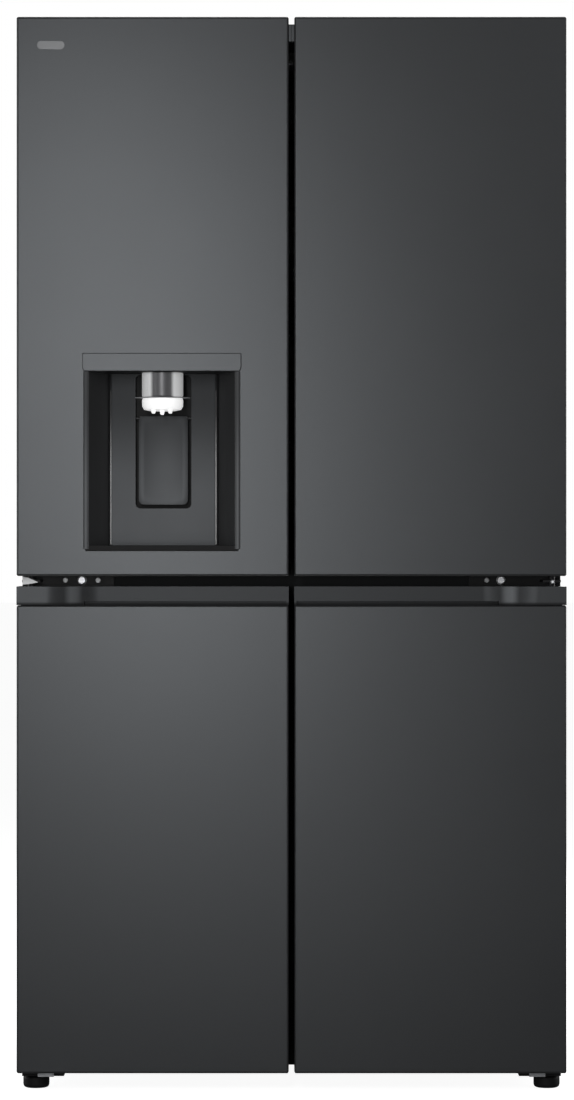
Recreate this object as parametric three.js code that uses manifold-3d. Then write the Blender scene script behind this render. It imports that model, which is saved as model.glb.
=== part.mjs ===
// French door refrigerator: two upper doors on the fridge compartment, two lower doors on the freezer,
// and an ice and water dispenser in the upper left door.
// Millimetres. +Z is up, the doors face -Y, and the origin is on the floor under the middle of the cabinet.
import * as THREE from "three";
import { mergeVertices } from "three/addons/utils/BufferGeometryUtils.js";
import Module from "manifold-3d";

const wasm = await Module();
wasm.setup();

// ---------------------------------------------------------------- driving dimensions

// Overall
const WIDTH = 914;
const HEIGHT = 1790; // floor to the top of the hinge cover
const DEPTH = 738; // door faces to back panel
const FASCIA_PROUD = 4; // how far the dispenser's control fascia stands out of the door

// Clearances
const TOUCH = 0.3; // between pieces that rest on each other
const SLIDE = 0.6; // around a sliding drawer
const PIN_PLAY = 0.4; // radial, around a hinge pin or an axle

// Doors
const DOOR_BASE = 31; // floor to the lower doors' bottom edge
const COVER_RISE = 3; // hinge cover above the doors' top edge
const LOWER_DOOR = 809; // height of a lower door, handle strip included
const CROSS_GAP = 17.5; // between upper and lower doors
const CENTRE_GAP = 9.2; // between left and right doors
const DOOR_THICK = 108;
const SEAL_GAP = 12; // between a door's back and the cabinet's front frame
const SKIN = 1.2; // steel sheet
const MOULDING = 2.8; // plastic wall of liners and caps
const CAP_DROP = 15; // top cap below the top edge of an upper door's front sheet
const PIN_SIDE = 22; // hinge pin's axis from the door's outer side
const PIN_FRONT = 50; // hinge pin's axis from the door's face
const PIN_R = 6;
const PIN_REACH = 20; // depth of the pin's socket in a door
const TOP_LIP = 10; // return lip along the top of an upper door's front sheet
const TOP_SIDE = 15; // side of the sheet above an upper door's cap

// Finger grips
const GRIP_STRIP = 31; // height of the handle strip on a lower door
const GRIP_RECESS = 24; // how far the strip is set back
const GRIP_CURVE = [46, 139]; // where the setback starts and ends, from the door's outer side
const GRIP_GROOVE = 6.5; // height of the groove under the strip
const GRIP_POCKET = 24; // depth of the pocket behind the sheet's top edge
const GRIP_LIP = 8; // from the door's face to the pocket
const GRIP_WIDE = 26; // the pocket, front to back
const UNDER_GRIP = [60, 430]; // pocket in an upper door's underside, from the outer side

// Seals
const SEAL = 14; // width of a gasket
const SEAL_IN = 6; // from an opening's edge to the gasket
const SEAL_EDGE = 8; // from the centre line to the gasket

// Cabinet
const CABINET_INSET = 2; // cabinet side inside the door's outer side
const CABINET_BASE = 30;
const COVER_HIGH = 14.7; // hinge cover
const COVER_DEEP = 180;
const SIDE_WALL = 47;
const TOP_WALL = 33;
const BACK_WALL = 70;
const BEAM = 72; // cross beam between the compartments
const BEAM_DROP = 28; // from a lower door's top edge down to the freezer's ceiling
const FLOOR_WALL = 82;
const POST = 56; // centre post between the two freezer bays
const MACHINE_DEEP = 238;
const MACHINE_HIGH = 270;
const MACHINE_FOAM = 27; // foam between the machine room and the freezer

// Door liners
const RIM_OUT = 6; // rim inside the compartment's opening
const RIM_CENTRE = 48; // from the centre line to the rim
const RIM_WIDE = 22;
const RIM_DEEP = 30; // how far the rim stands out of the door's back

// Fridge fittings, heights above the compartment's floor
const SHELF_FRONT = 245; // from the door faces
const SHELF_BACK = 648;
const SHELF_THICK = 12;
const SHELF_EDGE = 5; // from the liner's wall
const CRISPER_SHELF = 196;
const TOP_SHELF_DROP = 258; // from the ceiling
const MIDDLE_SHELF = 204 / 404; // share of the way from the crisper shelf to the top one
const LEDGE = 14;
const LEDGE_HIGH = 7;
const CRISPER_HIGH = 184;
const CRISPER_DEEP = 385;
const TUB_WALL = 3;
const CENTRE_CLEAR = 5; // from the centre line to a crisper

// Freezer drawers
const DRAWER_FRONT = 190;
const DRAWER_HIGH = 205;
const DRAWER_PITCH = 230;
const DRAWER_DEEP = 385;
const LOW_DRAWER_DEEP = 272; // the lowest drawers stop in front of the machine room

// Door bins
const BIN_HIGH = 112;
const BIN_BACK = 230; // from the door faces
const LOW_BIN_BACK = 188; // the lowest bin stops in front of the crisper
const LOW_BIN = 32; // above the fridge compartment's floor
const LEFT_BIN = 225; // the same, on the left door
const TOP_BIN_DROP = 186; // from the ceiling to the top bin's edge
const MIDDLE_BIN = 141 / 304; // share of the room left between the bins above and below it

// Centre mullion, hung on the upper left door and stored folded back
const MULLION_WIDE = 56;
const MULLION_THICK = 16;
const MULLION_PIVOT = 34; // from the centre line
const MULLION_SET = 2.3; // behind the front frame when it is turned flat
const MULLION_CLEAR = 14; // above and below it
const MULLION_PIN = 3;
const MULLION_ARM = 5;

// Dispenser, from the upper left door's outer side and bottom edge
const DISP_CENTRE = 241.5;
const DISP_WIDE = 242; // opening at the door's face
const DISP_BACK_WIDE = 180; // opening at the back wall
const DISP_LOW = 45;
const DISP_HIGH = 295;
const DISP_DEEP = 88;
const DISP_FRAME = 8.6;
const DISP_FRAME_PROUD = 1.5;
const FASCIA_HIGH = 30;
const FASCIA_SIDE = 11; // fascia past the opening
const FASCIA_BOX = 26; // depth of the control box behind it
const CHANNEL_WIDE = 95;
const CHANNEL_DEEP = 20;
const CHANNEL_LOW = 68; // above the opening's floor
const PADDLE_WIDE = 86;
const PADDLE_HIGH = 151;
const PADDLE_THICK = 5;
const PADDLE_LOW = 4.5; // above the channel's lower end
const PADDLE_PIN = 2.5;
const PADDLE_PROUD = 6; // in front of the back wall
const SPOUT_R = 34.5;
const SPOUT_BORE = 27;
const SPOUT_DROP = 65;
const SPOUT_FRONT = 44;
const BULGE_DEEP = 40; // liner bulge behind the dispenser
const ICE_BOX_LOW = 378; // above the compartment's floor
const ICE_BOX_DROP = 40; // from the compartment's ceiling
const ICE_BOX_BACK = 236;

// Hinges
const PLATE = 4;
const ARM = 30; // width of a hinge arm
const ARM_NOSE = 14; // plate past the pin
const FLANGE = 3.2;

// Feet and rollers
const FOOT_SIDE = 29; // from the door's outer side
const FOOT_BEHIND_PIN = 16; // from the hinge pin's axis to the foot's
const FOOT_R = 22;
const FOOT_HIGH = 20;
const STUD_R = 5;
const HINGE_PLATE_Z = 22;
const ROLLER_R = 20;
const ROLLER_WIDE = 22;
const ROLLER_SIDE = 55;
const ROLLER_BACK = 48;
const AXLE_R = 4;
const CHEEK = 3;

// Machine room and evaporator
const FAN_R = 70;
const FAN_HUB = 16;
const FAN_THICK = 18;
const SHAFT_R = 3;
const SHAFT_SHORT = 5; // end of a shaft inside its fan's hub
const CONDENSER_FAN_GAP = 3; // from the shroud to the fan
const EVAPORATOR_FAN_GAP = 9; // from the duct panel to the fan
const COMPRESSOR_R = 72;
const COMPRESSOR_HIGH = 168;
const EVAPORATOR_DEEP = 44;
const DUCT_PANEL = 4;
const DUCT_ROOM = 74; // evaporator room, front to back

// Places that follow from those
const Y = (d) => d - (DEPTH - FASCIA_PROUD) / 2; // from a depth behind the door faces to the part's own y
const DOOR_TOP = HEIGHT - COVER_RISE;
const LOWER_TOP = DOOR_BASE + LOWER_DOOR;
const UPPER_BASE = LOWER_TOP + CROSS_GAP;
const CABINET_X = WIDTH / 2 - CABINET_INSET;
const CABINET_FRONT = DOOR_THICK + SEAL_GAP;
const CABINET_TOP = HEIGHT - COVER_HIGH - TOUCH;
const ROOM_X = CABINET_X - SIDE_WALL; // inner half width of the compartments
const ROOM_BACK = DEPTH - BACK_WALL;
const FRIDGE_Z = [LOWER_TOP - BEAM_DROP + BEAM, CABINET_TOP - TOP_WALL];
const FREEZER_Z = [CABINET_BASE + FLOOR_WALL, LOWER_TOP - BEAM_DROP];
const MACHINE_FRONT = DEPTH - MACHINE_DEEP;
const STEP = { back: MACHINE_FRONT - MACHINE_FOAM, top: CABINET_BASE + MACHINE_HIGH + MACHINE_FOAM + 5 };
const DOOR_WIDE = (WIDTH - CENTRE_GAP) / 2;
const PIN_X = WIDTH / 2 - PIN_SIDE;
const LINER_FRONT = CABINET_FRONT + SKIN + TOUCH;
const ROOM_HIGH = FRIDGE_Z[1] - FRIDGE_Z[0];
const TOP_SHELF = ROOM_HIGH - TOP_SHELF_DROP;
const SHELF_HEIGHTS = {
  glass_shelf_top: TOP_SHELF,
  glass_shelf_middle: CRISPER_SHELF + MIDDLE_SHELF * (TOP_SHELF - CRISPER_SHELF),
  crisper_shelf: CRISPER_SHELF,
};
const TOP_BIN = ROOM_HIGH - TOP_BIN_DROP - BIN_HIGH;
const BIN_HEIGHTS = {
  bin_right_top: TOP_BIN,
  bin_right_middle: LOW_BIN + BIN_HIGH + MIDDLE_BIN * (TOP_BIN - LOW_BIN - 2 * BIN_HIGH),
  bin_right_bottom: LOW_BIN,
};

// ---------------------------------------------------------------- shapes

const material = (color, roughness, metalness, more = {}) =>
  new THREE.MeshStandardMaterial({ color, roughness, metalness, ...more });
const MATERIALS = {
  door_steel: material(0x4a4b4d, 0.42, 0.75),
  handle_strip: material(0x3c3d3f, 0.45, 0.3),
  cabinet_steel: material(0x3a3b3d, 0.5, 0.6),
  plated_steel: material(0x8c8f92, 0.45, 0.9),
  hinge_steel: material(0xc2c4c6, 0.25, 1),
  white_plastic: material(0xe6e8ea, 0.45, 0),
  clear_plastic: material(0xdfe8ee, 0.12, 0, { transparent: true, opacity: 0.45 }),
  shelf_glass: material(0xd8ebe6, 0.05, 0, { transparent: true, opacity: 0.4 }),
  dark_plastic: material(0x2c2d2f, 0.5, 0),
  dispenser_plastic: material(0x3b3c3e, 0.4, 0.1),
  chrome: material(0xd6d8da, 0.08, 1),
  seal_rubber: material(0x6e7072, 0.7, 0),
  foot_rubber: material(0x151617, 0.8, 0),
  foam: material(0xe8d9a8, 0.9, 0),
  fin_aluminium: material(0xb9bcc0, 0.35, 0.9),
  compressor_black: material(0x1b1c1e, 0.4, 0.5),
};

// A closed geometry as a solid that can be joined and cut.
function solid(geometry) {
  const plain = geometry.index ? geometry.toNonIndexed() : geometry.clone();
  plain.deleteAttribute("normal");
  plain.deleteAttribute("uv");
  const merged = mergeVertices(plain, 1e-4);
  return new wasm.Manifold(
    new wasm.Mesh({
      numProp: 3,
      vertProperties: merged.attributes.position.array,
      triVerts: new Uint32Array(merged.index.array),
    }),
  );
}

const join = (first, ...rest) => rest.reduce((all, next) => all.add(next), first);
const cut = (first, ...rest) => rest.reduce((all, next) => all.subtract(next), first);

// A named mesh from a solid.
function piece(name, made, look) {
  const mesh = made.getMesh();
  const geometry = new THREE.BufferGeometry();
  geometry.setAttribute("position", new THREE.BufferAttribute(new Float32Array(mesh.vertProperties), 3));
  geometry.setIndex(new THREE.BufferAttribute(new Uint32Array(mesh.triVerts), 1));
  geometry.computeVertexNormals();
  const result = new THREE.Mesh(geometry, MATERIALS[look]);
  result.name = name;
  return result;
}

// A block between two values on each axis, given in either order.
function block(x, y, z) {
  const low = [x, y, z].map((pair) => Math.min(...pair));
  const high = [x, y, z].map((pair) => Math.max(...pair));
  const size = high.map((value, axis) => value - low[axis]);
  const box = new THREE.BoxGeometry(...size);
  return solid(box.translate(...low.map((value, axis) => value + size[axis] / 2)));
}

// An outline in x and y, raised from z[0] to z[1].
function raised(points, z) {
  const shape = new THREE.Shape(points.map(([x, y]) => new THREE.Vector2(x, y)));
  const extruded = new THREE.ExtrudeGeometry(shape, { depth: z[1] - z[0], bevelEnabled: false });
  return solid(extruded.translate(0, 0, z[0]));
}

// An outline in y and z, drawn along x[0] to x[1].
function drawn(points, x) {
  const shape = new THREE.Shape(points.map(([y, z]) => new THREE.Vector2(y, z)));
  const extruded = new THREE.ExtrudeGeometry(shape, { depth: x[1] - x[0], bevelEnabled: false });
  // the outline's own x, y and depth become y, z and x
  const turned = new THREE.Matrix4().set(0, 0, 1, x[0], 1, 0, 0, 0, 0, 1, 0, 0, 0, 0, 0, 1);
  return solid(extruded.applyMatrix4(turned));
}

// A round bar along an axis, between two values on it.
function bar(axis, centre, radius, span, sides = 24) {
  const round = new THREE.CylinderGeometry(radius, radius, span[1] - span[0], sides);
  const middle = (span[0] + span[1]) / 2;
  if (axis === "x") round.rotateZ(Math.PI / 2).translate(middle, centre[0], centre[1]);
  if (axis === "y") round.translate(centre[0], middle, centre[1]);
  if (axis === "z") round.rotateX(Math.PI / 2).translate(centre[0], centre[1], middle);
  return solid(round);
}

// A profile of [radius, height] pairs, turned about a vertical axis.
function turned(profile, centre, sides = 32) {
  const lathe = new THREE.LatheGeometry(profile.map(([r, h]) => new THREE.Vector2(r, h)), sides);
  return solid(lathe.rotateX(Math.PI / 2).translate(centre[0], centre[1], 0));
}

// An open-topped tub.
function tub(x, y, z, wall) {
  const inner = (pair) => [Math.min(...pair) + wall, Math.max(...pair) - wall];
  return cut(block(x, y, z), block(inner(x), inner(y), [Math.min(...z) + wall, Math.max(...z) + 1]));
}

// ---------------------------------------------------------------- cabinet

function cabinetShell() {
  const rear = Y(DEPTH - SKIN) - TOUCH;
  const front = Y(CABINET_FRONT);
  const wrap = cut(
    block([-CABINET_X, CABINET_X], [front, rear], [CABINET_BASE, CABINET_TOP]),
    block(
      [-CABINET_X + SKIN, CABINET_X - SKIN],
      [front + SKIN, rear + 1],
      [CABINET_BASE - 1, CABINET_TOP - SKIN],
    ),
  );
  const through = [front - 1, front + SKIN + 1];
  return cut(
    wrap,
    block([-ROOM_X, ROOM_X], through, FRIDGE_Z),
    block([-ROOM_X, -POST / 2], through, FREEZER_Z),
    block([POST / 2, ROOM_X], through, FREEZER_Z),
  );
}

function fridgeLiner() {
  const front = Y(LINER_FRONT);
  const shell = cut(
    block(
      [-ROOM_X - MOULDING, ROOM_X + MOULDING],
      [front, Y(ROOM_BACK) + MOULDING],
      [FRIDGE_Z[0] - MOULDING, FRIDGE_Z[1] + MOULDING],
    ),
    block([-ROOM_X, ROOM_X], [front - 1, Y(ROOM_BACK)], FRIDGE_Z),
  );
  const ledges = Object.values(SHELF_HEIGHTS).flatMap((height) =>
    [-1, 1].map((side) => {
      const top = FRIDGE_Z[0] + height - TOUCH;
      return block(
        [side * (ROOM_X - LEDGE), side * (ROOM_X + 1)],
        [Y(SHELF_FRONT + 10), Y(SHELF_BACK)],
        [top - LEDGE_HIGH, top],
      );
    }),
  );
  return join(shell, ...ledges);
}

// The freezer's side outline, with a step over the machine room. grow moves its walls outwards.
const freezerOutline = (front, grow) => [
  [Y(front), FREEZER_Z[0] - grow],
  [Y(STEP.back) + grow, FREEZER_Z[0] - grow],
  [Y(STEP.back) + grow, STEP.top - grow],
  [Y(ROOM_BACK) + grow, STEP.top - grow],
  [Y(ROOM_BACK) + grow, FREEZER_Z[1] + grow],
  [Y(front), FREEZER_Z[1] + grow],
];

// The hollow in the centre post, which the foam fills. grow moves its walls outwards.
function postHollow(grow) {
  const rear = Y(ROOM_BACK - DUCT_ROOM) - MOULDING + grow;
  const below = FREEZER_Z[0] - MOULDING - 12;
  return drawn(
    [
      [Y(LINER_FRONT) + MOULDING - grow, below],
      [Y(STEP.back) + MOULDING + 8, below],
      [Y(STEP.back) + MOULDING + 8, STEP.top - MOULDING - 8],
      [rear, STEP.top - MOULDING - 8],
      [rear, FREEZER_Z[1] + grow],
      [Y(LINER_FRONT) + MOULDING - grow, FREEZER_Z[1] + grow],
    ],
    [-POST / 2 + MOULDING - grow, POST / 2 - MOULDING + grow],
  );
}

function freezerLiner() {
  const outer = drawn(freezerOutline(LINER_FRONT, MOULDING), [-ROOM_X - MOULDING, ROOM_X + MOULDING]);
  const bays = [-1, 1].map((side) =>
    drawn(freezerOutline(LINER_FRONT - 1, 0), side < 0 ? [-ROOM_X, -POST / 2] : [POST / 2, ROOM_X]),
  );
  const ductRoom = block(
    [-ROOM_X, ROOM_X],
    [Y(ROOM_BACK - DUCT_ROOM), Y(ROOM_BACK)],
    [STEP.top, FREEZER_Z[1]],
  );
  const ledges = [1, 2].flatMap((level) => {
    const top = FREEZER_Z[0] + level * DRAWER_PITCH - TOUCH;
    const edges = [
      [-ROOM_X - 1, -ROOM_X + LEDGE],
      [-POST / 2 - LEDGE, -POST / 2 + 1],
      [POST / 2 - 1, POST / 2 + LEDGE],
      [ROOM_X - LEDGE, ROOM_X + 1],
    ];
    const back = level === 1 ? STEP.back - 10 : DRAWER_FRONT + DRAWER_DEEP;
    return edges.map((x) => block(x, [Y(DRAWER_FRONT + 10), Y(back)], [top - LEDGE_HIGH, top]));
  });
  return join(cut(outer, ...bays, ductRoom, postHollow(0)), ...ledges);
}

function cabinetFoam() {
  const x = CABINET_X - SKIN - TOUCH;
  const inside = block(
    [-x, x],
    [Y(LINER_FRONT), Y(DEPTH - SKIN) - 2 * TOUCH],
    [CABINET_BASE + MOULDING + TOUCH, CABINET_TOP - SKIN - TOUCH],
  );
  const grow = MOULDING + TOUCH;
  const fridge = block(
    [-ROOM_X - grow, ROOM_X + grow],
    [Y(LINER_FRONT) - 1, Y(ROOM_BACK) + grow],
    [FRIDGE_Z[0] - grow, FRIDGE_Z[1] + grow],
  );
  const freezer = drawn(freezerOutline(LINER_FRONT - 1, grow), [-ROOM_X - grow, ROOM_X + grow]);
  const machineRoom = block(
    [-CABINET_X, CABINET_X],
    [Y(MACHINE_FRONT) - MOULDING - TOUCH, Y(DEPTH)],
    [0, CABINET_BASE + MACHINE_HIGH + MOULDING + TOUCH],
  );
  return join(cut(inside, fridge, freezer, machineRoom), postHollow(-TOUCH));
}

// Floor plate, the wall and deck of the machine room, and the cheeks and axles of the rear rollers.
function baseFrame() {
  const front = Y(LINER_FRONT);
  const rear = Y(DEPTH - SKIN) - 2 * TOUCH;
  const wall = Y(MACHINE_FRONT);
  const deck = CABINET_BASE + MACHINE_HIGH;
  const x = CABINET_X - SKIN - TOUCH;
  const tray = drawn(
    [
      [front, CABINET_BASE],
      [rear, CABINET_BASE],
      [rear, CABINET_BASE + MOULDING],
      [wall, CABINET_BASE + MOULDING],
      [wall, deck],
      [rear, deck],
      [rear, deck + MOULDING],
      [wall - MOULDING, deck + MOULDING],
      [wall - MOULDING, CABINET_BASE + MOULDING],
      [front, CABINET_BASE + MOULDING],
    ],
    [-x, x],
  );
  const well = ROLLER_WIDE / 2 + 2;
  const y = Y(DEPTH - ROLLER_BACK);
  return [-1, 1].reduce((made, side) => {
    const middle = side * (WIDTH / 2 - ROLLER_SIDE);
    const opened = cut(
      made,
      block(
        [middle - well, middle + well],
        [y - ROLLER_R - 4, y + ROLLER_R + 4],
        [CABINET_BASE - 1, CABINET_BASE + 5],
      ),
    );
    const cheeks = [-1, 1].map((hand) => {
      const inner = middle + hand * well;
      const outline = [ROLLER_R - AXLE_R - 4, CABINET_BASE + MOULDING / 2];
      return block([inner, inner + hand * CHEEK], [y - 14, y + 14], outline);
    });
    return join(opened, ...cheeks, bar("x", [y, ROLLER_R], AXLE_R, [middle - well - 1, middle + well + 1]));
  }, tray);
}

function backPanel() {
  const x = CABINET_X - SKIN;
  const low = CABINET_BASE + MACHINE_HIGH + MOULDING + 2 * TOUCH;
  return block([-x, x], [Y(DEPTH - SKIN), Y(DEPTH)], [low, CABINET_TOP - SKIN]);
}

// Rear cover of the machine room, with two fields of air slots.
function machineCover() {
  const x = CABINET_X - SKIN;
  const top = CABINET_BASE + MACHINE_HIGH + MOULDING;
  const [slotLong, slotHigh, slotPitch, rows] = [250, 7, 17, 11];
  const slots = [-1, 1].flatMap((side) =>
    Array.from({ length: rows }, (_, row) => {
      const z = CABINET_BASE + 45 + row * slotPitch;
      const across = [side * 215 - slotLong / 2, side * 215 + slotLong / 2];
      return block(across, [Y(DEPTH) - 5, Y(DEPTH) + 5], [z, z + slotHigh]);
    }),
  );
  return cut(block([-x, x], [Y(DEPTH - SKIN), Y(DEPTH)], [CABINET_BASE, top]), ...slots);
}

function topCover() {
  const low = CABINET_TOP + TOUCH;
  const y = [Y(CABINET_FRONT), Y(CABINET_FRONT + COVER_DEEP)];
  const hollow = block(
    [-CABINET_X + MOULDING, CABINET_X - MOULDING],
    [y[0] + MOULDING, y[1] - MOULDING],
    [low - 1, HEIGHT - MOULDING],
  );
  const arms = [-1, 1].map((side) =>
    block(
      [side * (PIN_X - ARM / 2 - 2), side * (PIN_X + ARM / 2 + 2)],
      [y[0] - 1, y[0] + MOULDING + 1],
      [low - 1, low + PLATE + 1.5],
    ),
  );
  return cut(block([-CABINET_X, CABINET_X], y, [low, HEIGHT]), hollow, ...arms);
}

// ---------------------------------------------------------------- hinges, feet and rollers

const pinAt = (side) => [side * PIN_X, Y(PIN_FRONT)];

function topHinge(side) {
  const z = [CABINET_TOP + TOUCH, CABINET_TOP + TOUCH + PLATE];
  const arm = block(
    [side * (PIN_X - ARM / 2), side * (PIN_X + ARM / 2)],
    [Y(PIN_FRONT - ARM_NOSE), Y(CABINET_FRONT + 30)],
    z,
  );
  const foot = block(
    [side * (PIN_X - 70), side * (PIN_X + ARM / 2)],
    [Y(CABINET_FRONT + 16), Y(CABINET_FRONT + 120)],
    z,
  );
  return join(arm, foot, bar("z", pinAt(side), PIN_R, [CABINET_TOP - 3 - PIN_REACH, z[1]]));
}

// Plate between the upper and lower doors, with a pin each way, and the flange screwed to the cross beam.
function midHinge(side) {
  const middle = LOWER_TOP + CROSS_GAP / 2;
  const arm = block(
    [side * (PIN_X - ARM / 2), side * (PIN_X + ARM / 2)],
    [Y(PIN_FRONT - ARM_NOSE), Y(CABINET_FRONT) - TOUCH],
    [middle - PLATE / 2, middle + PLATE / 2],
  );
  const flange = block(
    [side * (PIN_X - 135), side * (PIN_X + ARM / 2)],
    [Y(CABINET_FRONT) - TOUCH - FLANGE, Y(CABINET_FRONT) - TOUCH],
    [middle - 12, middle + 12],
  );
  const reach = CROSS_GAP / 2 + PIN_REACH - 6;
  return join(arm, flange, bar("z", pinAt(side), PIN_R, [middle - reach, middle + reach]));
}

// Plate under a lower door, with a pin up into it, a threaded hole for the foot and a flange on the cabinet.
function bottomHinge(side) {
  const z = [HINGE_PLATE_Z, HINGE_PLATE_Z + PLATE + 1];
  const x = [side * (PIN_X - 55), side * (PIN_X + ARM / 2)];
  const rear = Y(CABINET_FRONT) - TOUCH;
  const plate = block(x, [Y(PIN_FRONT - ARM_NOSE), rear], z);
  const flange = block(x, [rear - FLANGE, rear], [z[0], z[0] + 46]);
  const pin = bar("z", pinAt(side), PIN_R, [z[0], DOOR_BASE + PIN_REACH - 4]);
  const foot = [side * (WIDTH / 2 - FOOT_SIDE), Y(PIN_FRONT + FOOT_BEHIND_PIN)];
  return cut(join(plate, flange, pin), bar("z", foot, STUD_R + PIN_PLAY, [z[0] - 1, z[1] + 1]));
}

function levellingFoot(side) {
  const top = HINGE_PLATE_Z + PLATE + 3;
  const profile = [
    [0, 0],
    [FOOT_R - 3, 0],
    [FOOT_R, 4],
    [FOOT_R, FOOT_HIGH - 2],
    [FOOT_R - 2, FOOT_HIGH],
    [STUD_R, FOOT_HIGH],
    [STUD_R, top],
    [0, top],
  ];
  return turned(profile, [side * (WIDTH / 2 - FOOT_SIDE), Y(PIN_FRONT + FOOT_BEHIND_PIN)]);
}

function rearRoller(side) {
  const middle = side * (WIDTH / 2 - ROLLER_SIDE);
  const span = [middle - ROLLER_WIDE / 2, middle + ROLLER_WIDE / 2];
  const centre = [Y(DEPTH - ROLLER_BACK), ROLLER_R];
  return cut(
    bar("x", centre, ROLLER_R, span, 40),
    bar("x", centre, AXLE_R + PIN_PLAY, [span[0] - 1, span[1] + 1]),
  );
}

// ---------------------------------------------------------------- machine room and evaporator

const machineFloor = CABINET_BASE + MOULDING;
const machineMiddle = Y(MACHINE_FRONT + MACHINE_DEEP / 2);
const FAN_CENTRE = [machineMiddle, machineFloor + FAN_R + 40];
const SHROUD = [-WIDTH / 8, -WIDTH / 8 + 4];
const FAN_FROM = SHROUD[1] + CONDENSER_FAN_GAP;

// A welded can on a base plate with four rubber mounts.
function compressor() {
  const centre = [WIDTH / 4, machineMiddle];
  const low = machineFloor + 16;
  const shoulder = COMPRESSOR_R * 0.55;
  const profile = [
    [0, low],
    [COMPRESSOR_R - 10, low],
    [COMPRESSOR_R, low + 12],
    [COMPRESSOR_R, low + COMPRESSOR_HIGH - 38],
    [COMPRESSOR_R - 12, low + COMPRESSOR_HIGH - 14],
    [shoulder, low + COMPRESSOR_HIGH],
    [0, low + COMPRESSOR_HIGH],
  ];
  const [halfX, halfY] = [COMPRESSOR_R + 18, COMPRESSOR_R + 6];
  const plate = block(
    [centre[0] - halfX, centre[0] + halfX],
    [centre[1] - halfY, centre[1] + halfY],
    [low - 4, low + 1],
  );
  const mounts = [-1, 1].flatMap((i) =>
    [-1, 1].map((j) =>
      bar(
        "z",
        [centre[0] + i * (halfX - 12), centre[1] + j * (halfY - 12)],
        10,
        [machineFloor + TOUCH, low],
        12,
      ),
    ),
  );
  const terminalBox = block(
    [centre[0] + COMPRESSOR_R - 6, centre[0] + COMPRESSOR_R + 24],
    [centre[1] - 24, centre[1] + 24],
    [low + 50, low + 104],
  );
  return join(turned(profile, centre), plate, ...mounts, terminalBox);
}

// Finned coil with the fan's shroud and motor on its inner end.
function condenser() {
  const x = [-WIDTH / 2 + ROLLER_SIDE + 40, SHROUD[0]];
  const y = [machineMiddle - 80, machineMiddle + 80];
  const z = [machineFloor + TOUCH, machineFloor + 190];
  const fins = 12;
  const pitch = (x[1] - x[0] - 30) / fins;
  const grooves = Array.from({ length: fins }, (_, i) =>
    block(
      [x[0] + 4 + i * pitch, x[0] + 4 + (i + 0.6) * pitch],
      [y[0] + 16, y[1] + 1],
      [z[0] + 12, z[1] + 1],
    ),
  );
  const wall = SHROUD;
  const shroud = cut(
    block(wall, [machineMiddle - FAN_R - 12, machineMiddle + FAN_R + 12], [z[0], z[1] + 4]),
    bar("x", FAN_CENTRE, FAN_R + 4, [wall[0] - 1, wall[1] + 1], 40),
  );
  const motor = bar("x", FAN_CENTRE, FAN_HUB + 4, [x[1] - 24, wall[1]], 16);
  const spokes = block([x[1] - 2, wall[1]], [machineMiddle - 6, machineMiddle + 6], [z[0], z[1]]);
  const shaft = bar("x", FAN_CENTRE, SHAFT_R, [wall[1] - 1, FAN_FROM + FAN_THICK - SHAFT_SHORT], 12);
  return join(cut(block(x, y, z), ...grooves), shroud, motor, spokes, shaft);
}

// Hub and blades about an axis through the given centre; along is the axis and from its first plane.
function fan(axis, centre, from, radius) {
  const hub = bar(axis, centre, FAN_HUB, [from, from + FAN_THICK], 20);
  const bore = bar(axis, centre, SHAFT_R + PIN_PLAY, [from - 1, from + FAN_THICK - 3], 12);
  const blades = Array.from({ length: 7 }, (_, i) => {
    const blade = new THREE.BoxGeometry(3, radius * 0.52, radius - FAN_HUB + 4);
    blade.rotateZ(0.55).translate(0, 0, (radius + FAN_HUB - 4) / 2);
    blade.scale(1, 1, 0.97).rotateX((i * 2 * Math.PI) / 7);
    if (axis === "x") blade.translate(from + FAN_THICK / 2, centre[0], centre[1]);
    if (axis === "y") blade.rotateZ(Math.PI / 2).translate(centre[0], from + FAN_THICK / 2, centre[1]);
    return solid(blade);
  });
  const disc = bar(axis, centre, radius, [from, from + FAN_THICK], 40);
  return cut(join(hub, ...blades.map((blade) => blade.intersect(disc))), bore);
}

const condenserFan = () => fan("x", FAN_CENTRE, FAN_FROM, FAN_R - 4);

const ductFront = ROOM_BACK - DUCT_ROOM + MOULDING;
const EVAP_FAN = [0, FREEZER_Z[1] - 66];
const EVAP_FAN_R = 56;

function evaporator() {
  const x = [-ROOM_X + 70, ROOM_X - 70];
  const y = [Y(ROOM_BACK - EVAPORATOR_DEEP - 8), Y(ROOM_BACK - 8)];
  const z = [STEP.top + 40, FREEZER_Z[1] - 150];
  const fins = 16;
  const pitch = (x[1] - x[0]) / fins;
  const grooves = Array.from({ length: fins }, (_, i) =>
    block(
      [x[0] + (i + 0.2) * pitch, x[0] + (i + 0.8) * pitch],
      [y[0] - 1, y[1] - 12],
      [z[0] - 1, z[1] + 1],
    ),
  );
  return cut(block(x, y, z), ...grooves);
}

const EVAP_FAN_FROM = Y(ductFront + DUCT_PANEL + EVAPORATOR_FAN_GAP);
const evaporatorFan = () => fan("y", EVAP_FAN, EVAP_FAN_FROM, EVAP_FAN_R - 4);

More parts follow.
